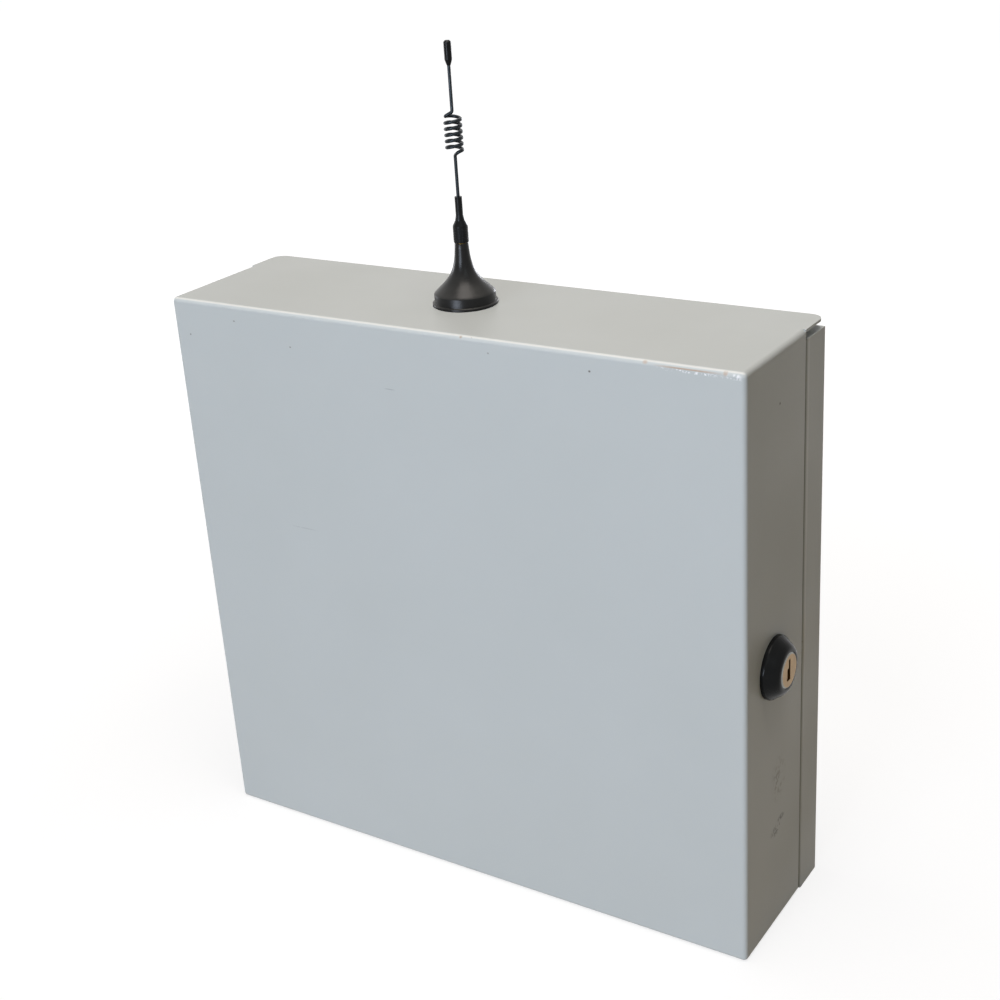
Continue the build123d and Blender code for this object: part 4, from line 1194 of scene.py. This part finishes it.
    def cranks(self) -> tuple[Crank, Crank]:
        """The bends below and above the coil.

        Returns:
            The lower and the upper one.
        """
        side = 1.0 if self.half_turns % 2 == 0 else -1.0
        high = self.coil_low + self.half_turns * self.coil_pitch / 2
        sizes = (self.coil_radius, self.crank_drop, self.bend_radius)
        return Crank(self.coil_low, 1.0, -1.0, *sizes), Crank(high, side, 1.0, *sizes)

    @staticmethod
    def arc(centre: Vector, axis: Vector, angle: float, steps: int) -> None:
        """Spins the wire's end round a bend, by the right-hand rule: the operator turns the other way.

        Args:
            centre: Middle of the bend in millimetres.
            axis: What the bend turns about.
            angle: How far it turns, in radians.
            steps: Rings of faces along it.
        """
        bpy.ops.mesh.spin(steps=steps, angle=-angle, center=centre * MM, axis=axis)

    def half_coil(self, index: int) -> None:
        """Spins one half turn of the coil, in its own tilted plane.

        Args:
            index: Which half turn, from the lowest.
        """
        side = 1.0 if index % 2 == 0 else -1.0
        rise = self.coil_pitch / 2
        middle = Vector((0.0, 0.0, self.coil_low + (index + 0.5) * rise))
        axis = Vector((side * rise / 2, 0.0, self.coil_radius)).normalized()
        self.arc(middle, axis, math.pi, self.coil_steps)


@dataclass
class PowerSupply(Assembly):
    """The power supply under its vented lid, with its terminal strip."""

    lid_y: float = 10.0
    lid_screws: tuple[Pair, ...] = ((-122.0, 154.0), (-52.0, 154.0), (-122.0, 224.0), (-52.0, 224.0))
    lid_screw: ScrewHead = ScrewHead(2.3, 1.2, 0.7)
    strip_first: Point = (-117.24, 25.7, 141.2)
    strip_pitch: float = 15.12
    ways: int = 5
    clamp: Clamp = Clamp(ScrewHead(3.0, 2.1, 0.9), 8.1)

    def build(self) -> None:
        """Dresses the solids and adds lid and terminal screws."""
        self.dress(self.palette.aluminium, "supply_chassis", "supply_cover")
        self.dress(self.palette.board, "supply_board")
        self.dress(self.palette.ferrite, "supply_transformer")
        self.dress(self.palette.component, "supply_terminals")
        self.lid_screw.rows("supply_lid_screws", [mm(x, self.lid_y, z) for x, z in self.lid_screws], self.palette)
        x, y, z = self.strip_first
        places = [mm(x + way * self.strip_pitch, y, z) for way in range(self.ways)]
        self.clamp.rows("supply_terminal_clamps", places, self.palette)


@dataclass
class MainsInlet(Assembly):
    """Inlet terminals, switch bracket, switch and rocker."""

    strip_y: float = 30.65
    strip_rows: tuple[float, ...] = (35.0, 45.0)
    strip_first_x: float = -118.3
    strip_pitch: float = 14.0
    ways: int = 3
    clamp: Clamp = Clamp(ScrewHead(2.7, 1.89, 0.81), 7.29)
    foot_y: float = 38.8
    foot_screws: tuple[Pair, ...] = ((-118.0, 123.0), (-100.0, 123.0), (-118.0, 71.0), (-100.0, 71.0))
    foot_screw: ScrewHead = ScrewHead(2.6, 1.4, 0.8)

    def build(self) -> None:
        """Dresses the solids and adds clamps and bracket screws."""
        self.dress(self.palette.component, "mains_terminals", "switch_body", "switch_rocker")
        self.dress(self.palette.zinc, "switch_bracket")
        columns = [self.strip_first_x + way * self.strip_pitch for way in range(self.ways)]
        places = [mm(x, self.strip_y, z) for x in columns for z in self.strip_rows]
        self.clamp.rows("mains_terminal_clamps", places, self.palette)
        self.foot_screw.rows("bracket_screws", [mm(x, self.foot_y, z) for x, z in self.foot_screws], self.palette)


@dataclass(frozen=True)
class Leg:
    """A chip's gull-wing leg: a shoulder, a slanted drop and a foot on the board, in millimetres."""

    width: float
    thickness: float = 0.25
    shoulder: float = 0.5
    level: float = 1.1
    overhang: float = 0.2
    drop: Pair = (0.95, 0.3)
    foot: float = 0.5

    def make(self, face_y: float, half: float, angle: float) -> Piece:
        """One leg on the upper side of a chip, turned about the chip's middle.

        Args:
            face_y: The board's face.
            half: Distance from the chip's middle to its side.
            angle: Turn about the board's normal in radians.

        Returns:
            The leg, about the chip's middle.
        """
        size = mm(self.width, self.thickness, self.shoulder)
        leg = Workbench.block(size, mm(0.0, face_y - self.level, half + self.overhang))
        Workbench.pick(leg, Part.FACES, lambda face: face.normal.z > SQUARE_ON)
        Workbench.extrude(0.0, *self.drop)
        Workbench.extrude(0.0, 0.0, self.foot)
        Workbench.leave()
        leg.rotation_euler = (0.0, angle, 0.0)
        bpy.ops.object.transform_apply(rotation=True)
        return leg


@dataclass
class ControlBoard(Assembly):
    """The control board with its relays, terminals, chips, buttons, fuse, cell, capacitors and radio."""

    face_y: float = 30.4
    board_screws: tuple[Pair, ...] = (
        (-21.0, 51.0), (-21.0, 141.0), (-21.0, 231.0), (117.0, 51.0), (117.0, 141.0), (117.0, 231.0),
    )
    board_screw: ScrewHead = ScrewHead(2.9, 2.0, 0.8)
    well_y: float = 20.4
    lamp_well_z: float = 55.17
    lamp_centres: tuple[float, ...] = (11.8, 84.2)
    lamp_ways: int = 8
    lamp_pitch: float = 7.4
    input_wells: tuple[Pair, ...] = ((-10.46, 226.83), (-3.06, 226.83))
    well_screw: ScrewHead = ScrewHead(1.75, 1.3, 0.6)
    drivers: tuple[Pair, ...] = ((18.4, 109.65), (77.6, 109.65))
    driver_legs: int = 9
    driver_pitch: float = 2.54
    driver_half: float = 3.5
    driver_leg: Leg = Leg(0.55)
    processor: Pair = (48.0, 141.0)
    processor_legs: int = 14
    processor_pitch: float = 1.1
    processor_half: float = 10.0
    processor_leg: Leg = Leg(0.5)
    relay_first_x: float = -13.67
    relay_pitch: float = 24.67
    relay_count: int = 6
    resistor_z: float = 96.5
    resistor_steps: Pair = (-4.5, 4.5)
    loose_chips: tuple[Pair, ...] = (
        (30.0, 132.0), (30.0, 137.0), (30.0, 145.0), (30.0, 150.0), (66.0, 132.0), (66.0, 150.0), (48.0, 124.0),
        (54.0, 124.0), (86.0, 146.0), (92.0, 146.0), (104.0, 146.0), (20.0, 180.0), (26.0, 180.0), (32.0, 180.0),
        (20.0, 190.0), (26.0, 190.0),
    )
    chip_size: Point = (2.2, 0.7, 1.7)
    chip_edge: float = 0.12
    end_size: Point = (0.6, 0.76, 1.76)
    end_edge: float = 0.15
    end_x: float = 1.3
    crystal: Pair = (48.0, 160.0)
    crystal_flange: Point = (11.0, 0.5, 4.8)
    crystal_lip: float = 0.4
    crystal_height: float = 3.0
    crystal_top_edge: float = 0.6
    crystal_top_steps: int = 4
    crystal_corner: float = 1.2
    crystal_corner_steps: int = 5
    fuse: Point = (-6.76, 25.0, 118.2)
    fuse_half: float = 10.0
    fuse_cap: tuple[Pair, ...] = ((0.0, 0.0), (2.45, 0.0), (2.63, 0.2), (2.63, 5.0), (2.56, 5.1), (0.0, 5.1))
    fuse_cap_sides: int = 40
    cell: Pair = (-0.84, 141.0)
    cell_y: float = 25.8
    clip_size: Point = (5.0, 0.4, 15.0)
    clip_lift: float = 0.25
    clip_rise: float = 5.2
    clip_tip: Pair = (-0.5, -1.6)
    clip_shoulder: Pair = (1.2, 0.5)
    clip_tail: float = 3.4
    clip_edge: float = 0.1
    capacitors: tuple[Pair, ...] = ((15.44, 213.2), (36.16, 213.2))
    capacitor_y: float = 5.4
    vent: tuple[Pair, ...] = ((0.0, 0.0), (6.3, 0.0), (6.3, 0.1), (6.1, 0.2), (0.0, 0.2))
    vent_sides: int = 48
    score: Point = (8.0, 0.5, 0.2)

    def build(self) -> None:
        """Dresses the solids and adds screws, legs, chips, caps and clip."""
        self.finishes()
        self.screws()
        self.chip_legs()
        self.chips()
        self.crystal_can()
        self.fuse_caps()
        self.cell_clip()
        self.capacitor_vents()

    def finishes(self) -> None:
        """Puts the finishes on the board's solids."""
        self.dress(self.palette.board, "control_board", "radio_board")
        self.dress(self.palette.zinc, "board_standoffs")
        black = ["processor", "driver_chip_left", "driver_chip_right", "battery_holder", "fuse_holder"]
        self.dress(self.palette.component, *black, "step_switch", "reset_switch")
        self.dress(self.palette.relay, *[f"lamp_relay_{index}" for index in range(1, self.relay_count + 1)])
        self.dress(self.palette.terminal, "lamp_terminals_left", "lamp_terminals_right", "input_terminals")
        self.dress(self.palette.lens, "status_lights")
        self.dress(self.palette.cell, "clock_battery")
        self.dress(self.palette.glass, "lamp_fuse")
        self.dress(self.palette.tin, "radio_can")
        self.dress(self.palette.brass_thread, "antenna_socket")
        self.dress(self.palette.sleeve, "capacitor_left", "capacitor_right")
        self.dress(self.palette.red, "reset_button")
        self.dress(self.palette.white, "step_button")

    @staticmethod
    def row(count: int, pitch: float) -> list[float]:
        """Steps of an even row about its middle.

        Args:
            count: How many there are.
            pitch: From one to the next.

        Returns:
            Their distances from the middle.
        """
        return [(index - (count - 1) / 2) * pitch for index in range(count)]

    def screws(self) -> None:
        """Sets the board's screws and the screws in the terminals' wells."""
        spots = [mm(x, self.face_y, z) for x, z in self.board_screws]
        heads = self.board_screw.rows("slotted_board_screws", spots, self.palette)
        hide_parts("board_screws")
        steps = self.row(self.lamp_ways, self.lamp_pitch)
        wells = [(centre + step, self.lamp_well_z) for centre in self.lamp_centres for step in steps]
        spots = [mm(x, self.well_y, z) for x, z in [*wells, *self.input_wells]]
        self.well_screw.rows("terminal_screws", spots, self.palette)

    def chip_legs(self) -> None:
        """Sets the legs of the driver chips and of the processor."""
        rows = []
        steps = self.row(self.driver_legs, self.driver_pitch)
        for angle in (0.0, math.pi):
            leg = self.driver_leg.make(self.face_y, self.driver_half, angle)
            rows.append(Workbench.copies(leg, [mm(x + step, 0.0, z) for x, z in self.drivers for step in steps]))
        x, z = self.processor
        steps = self.row(self.processor_legs, self.processor_pitch)
        for turn in range(4):
            leg = self.processor_leg.make(self.face_y, self.processor_half, turn * math.pi / 2)
            spots = [mm(x + step, 0.0, z) if turn % 2 == 0 else mm(x, 0.0, z + step) for step in steps]
            rows.append(Workbench.copies(leg, spots))
        Workbench.done(Workbench.join(rows), "chip_legs", Body.REAR_BOX, self.palette.tin, "tinned_steel")

    def chips(self) -> None:
        """Sets the small flat resistors and capacitors with their tinned ends."""
        relays = [self.relay_first_x + index * self.relay_pitch for index in range(self.relay_count)]
        spots = [(x + step, self.resistor_z) for x in relays for step in self.resistor_steps]
        places = [mm(x, self.face_y, z) for x, z in [*spots, *self.loose_chips]]
        bodies = Workbench.block(mm(*self.chip_size), mm(0.0, -self.chip_size[1] / 2, 0.0))
        Workbench.bevel(self.chip_edge)
        Workbench.leave()
        Workbench.copies(bodies, places)
        Workbench.done(bodies, "chip_bodies", Body.REAR_BOX, self.palette.ceramic, "black_component")
        ends = Workbench.block(mm(*self.end_size), mm(-self.end_x, -self.end_size[1] / 2, 0.0))
        Workbench.bevel(self.end_edge)
        bpy.ops.mesh.select_all(action="SELECT")
        bpy.ops.mesh.duplicate_move(TRANSFORM_OT_translate={"value": mm(2 * self.end_x, 0.0, 0.0)})
        Workbench.leave()
        Workbench.copies(ends, places)
        Workbench.done(ends, "chip_ends", Body.REAR_BOX, self.palette.tin, "tinned_steel")

    def crystal_can(self) -> None:
        """Sets the clock crystal's flat can, with its flange."""
        x, z = self.crystal
        flange = self.crystal_flange[1]
        can = Workbench.block(mm(*self.crystal_flange), mm(x, self.face_y - flange / 2, z))
        Workbench.pick(can, Part.FACES, lambda face: face.normal.y < -SQUARE_ON)
        bpy.ops.mesh.inset(thickness=self.crystal_lip * MM, depth=0.0)
        Workbench.extrude(0.0, -self.crystal_height, 0.0)
        middle = (self.face_y - flange - self.crystal_height / 2) * MM
        Workbench.pick(can, Part.EDGES, lambda edge: max(vertex.co.y for vertex in edge.verts) < middle)
        Workbench.bevel(self.crystal_top_edge, self.crystal_top_steps)
        upright = 2 * flange * MM * SQUARE_ON
        Workbench.pick(can, Part.EDGES, lambda edge: abs(edge.verts[0].co.y - edge.verts[1].co.y) > upright)
        Workbench.bevel(self.crystal_corner, self.crystal_corner_steps)
        Workbench.leave()
        Workbench.done(can, "crystal_can", Body.REAR_BOX, self.palette.tin, "tinned_steel")

    def fuse_caps(self) -> None:
        """Sets the plated caps on the lamp fuse's ends."""
        x, y, z = self.fuse
        length = self.fuse_cap[-1][1]
        cap = Workbench.place(Workbench.turned(self.fuse_cap, self.fuse_cap_sides), Vector(), Facing.RIGHT)
        Workbench.copies(cap, [mm(x - self.fuse_half, y, z), mm(x + self.fuse_half - length, y, z)])
        Workbench.done(cap, "fuse_caps", Body.REAR_BOX, self.palette.cell, "cell_steel")

    def cell_clip(self) -> None:
        """Sets the spring clip that lies over the coin cell."""
        x, z = self.cell
        clip = Workbench.block(mm(*self.clip_size), mm(x, self.cell_y - self.clip_lift, z + self.clip_rise))
        Workbench.pick(clip, Part.FACES, lambda face: face.normal.z < -SQUARE_ON)
        Workbench.extrude(0.0, *self.clip_tip)
        Workbench.pick(clip, Part.FACES, lambda face: face.normal.z > SQUARE_ON)
        Workbench.extrude(0.0, *self.clip_shoulder)
        Workbench.extrude(0.0, self.clip_tail, 0.0)
        bpy.ops.mesh.select_all(action="SELECT")
        Workbench.bevel(self.clip_edge)
        Workbench.leave()
        Workbench.done(clip, "cell_clip", Body.REAR_BOX, self.palette.cell, "cell_steel")

    def capacitor_vents(self) -> None:
        """Sets the bare ends of the capacitors, scored with a cross."""
        disc = Workbench.turned(self.vent, self.vent_sides)
        length, width, depth = self.score
        for size in (mm(length, width, depth), mm(width, length, depth)):
            score = Workbench.block(size, mm(0.0, 0.0, depth))
            Workbench.leave()
            Workbench.cut(disc, score)
        Workbench.place(disc, Vector(), Facing.FRONT)
        Workbench.copies(disc, [mm(x, self.capacitor_y, z) for x, z in self.capacitors])
        Workbench.done(disc, "capacitor_vents", Body.REAR_BOX, self.palette.aluminium, "supply_aluminium")


# Studio


@dataclass(frozen=True)
class Lamp:
    """A soft square lamp: where it hangs, what it points at and its side in metres, its watts and its colour."""

    name: str
    place: Point
    target: Point
    side: float
    power: float
    colour: str

    def hang(self) -> None:
        """Adds the lamp to the scene."""
        data = bpy.data.lights.new(self.name, "AREA")
        data.size = self.side
        data.energy = self.power
        data.color = linear(self.colour)[:3]
        lamp = bpy.data.objects.new(self.name, data)
        lamp.location = self.place
        lamp.rotation_euler = (Vector(self.target) - Vector(self.place)).to_track_quat("-Z", "Y").to_euler()
        bpy.context.scene.collection.objects.link(lamp)


@dataclass
class Studio:
    """Floor, light and camera."""

    camera_place: Point = (391.2, -581.4, 485.3)
    camera_turn: Point = (66.725, 3.496, 32.148)
    lens: float = 58.25
    sensor: float = 36.0
    clip: Pair = (0.02, 100.0)
    floor_size: float = 30.0
    floor_level: float = -0.2
    floor_colour: str = "#9f8a64"
    shadow_colour: str = "#8f8f8f"
    paling: Pair = (0.25, 0.9)
    near_level: float = 0.8
    low_colour: str = "#fff0dd"
    low_level: float = 0.03
    white: str = "#ffffff"
    lamps: tuple[Lamp, ...] = (
        Lamp("front_window", (0.03, -2.3, 0.36), (0.05, 0.0, 0.1), 0.8, 42.5, "#e2edff"),
        Lamp("ceiling_panel", (0.1, -0.15, 1.7), (0.0, 0.0, 0.28), 0.9, 17.7, "#fff7f0"),
        Lamp("side_wall", (1.3, -0.9, 1.3), (0.15, 0.0, 0.28), 0.8, 1.65, "#e2f2fa"),
        Lamp("back_fill", (-0.2, 2.4, 0.3), (0.0, 0.0, 0.14), 0.5, 9.0, "#f4f6ff"),
        Lamp("left_fill", (-2.3, 0.25, 0.3), (0.0, 0.0, 0.14), 0.5, 8.0, "#f4f6ff"),
    )

    def build(self) -> None:
        """Sets up the whole studio."""
        bpy.context.scene.view_settings.view_transform = "Standard"
        self.camera()
        self.floor()
        self.world()
        for lamp in self.lamps:
            lamp.hang()

    def camera(self) -> None:
        """The camera at the photograph's viewing angle."""
        data = bpy.data.cameras.new("camera")
        data.lens = self.lens
        data.sensor_width = self.sensor
        data.clip_start, data.clip_end = self.clip
        camera = bpy.data.objects.new("camera", data)
        camera.location = mm(*self.camera_place)
        camera.rotation_euler = [math.radians(angle) for angle in self.camera_turn]
        bpy.context.scene.collection.objects.link(camera)
        bpy.context.scene.camera = camera

    @staticmethod
    def seen(tree: NodeTree) -> Node:
        """Whether the camera, a reflection or clear glass looks at the background.

        Args:
            tree: The node tree of the floor or the world.

        Returns:
            The node that gives 1 for such a ray and 0 for any other.
        """
        rays = add_node(tree, "LightPath").outputs
        mirrored = add_node(tree, "Math", {0: rays["Is Camera Ray"], 1: rays["Is Glossy Ray"]}, operation="MAXIMUM")
        return add_node(tree, "Math", {0: mirrored, 1: rays["Is Transmission Ray"]}, operation="MAXIMUM")

    def floor(self) -> None:
        """A plain pale floor that keeps a soft shadow and is white further off."""
        Workbench.clear()
        bpy.ops.mesh.primitive_plane_add(size=self.floor_size, location=mm(0.0, 0.0, self.floor_level))
        plane = bpy.context.object
        plane.name = "floor"
        made = bpy.data.materials.new("pale_floor")
        made.use_nodes = True
        tree = made.node_tree
        tree.nodes.clear()
        matt = add_node(tree, "BsdfDiffuse", {"Color": linear(self.floor_colour)})
        place = add_node(tree, "TexCoord").outputs["Object"]
        far = add_node(tree, "VectorMath", {0: place}, operation="LENGTH")
        near, away = self.paling
        level = add_node(tree, "MapRange", {0: far, 1: near, 2: away, 3: self.near_level, 4: 1.0})
        pale = add_node(tree, "Emission", {"Color": linear(self.white), "Strength": level})
        shade = add_node(tree, "BsdfDiffuse", {"Color": linear(self.shadow_colour)})
        lit = add_node(tree, "AddShader", {0: pale, 1: shade})
        mixed = add_node(tree, "MixShader", {0: self.seen(tree), 1: matt, 2: lit})
        add_node(tree, "OutputMaterial", {"Surface": mixed})
        plane.data.materials.append(made)

    def world(self) -> None:
        """White where the camera, a reflection or glass looks at it, and a low warm light elsewhere."""
        world = bpy.data.worlds.new("studio")
        bpy.context.scene.world = world
        world.use_nodes = True
        tree = world.node_tree
        tree.nodes.clear()
        low = add_node(tree, "Background", {"Color": linear(self.low_colour), "Strength": self.low_level})
        full = add_node(tree, "Background", {"Color": linear(self.white), "Strength": 1.0})
        mixed = add_node(tree, "MixShader", {0: self.seen(tree), 1: low, 2: full})
        add_node(tree, "OutputWorld", {"Surface": mixed})


def main() -> None:
    """Loads the frame and builds every sub-assembly and the studio."""
    logging.basicConfig(level=logging.INFO, format="%(name)s: %(message)s")
    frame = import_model()
    palette = Palette()
    for kind in (Case, CamLock, Antenna, PowerSupply, MainsInlet, ControlBoard):
        kind(frame, palette).build()
        LOG.info("%s is dressed", kind.__name__)
    Studio().build()


if __name__ == "__main__":
    main()
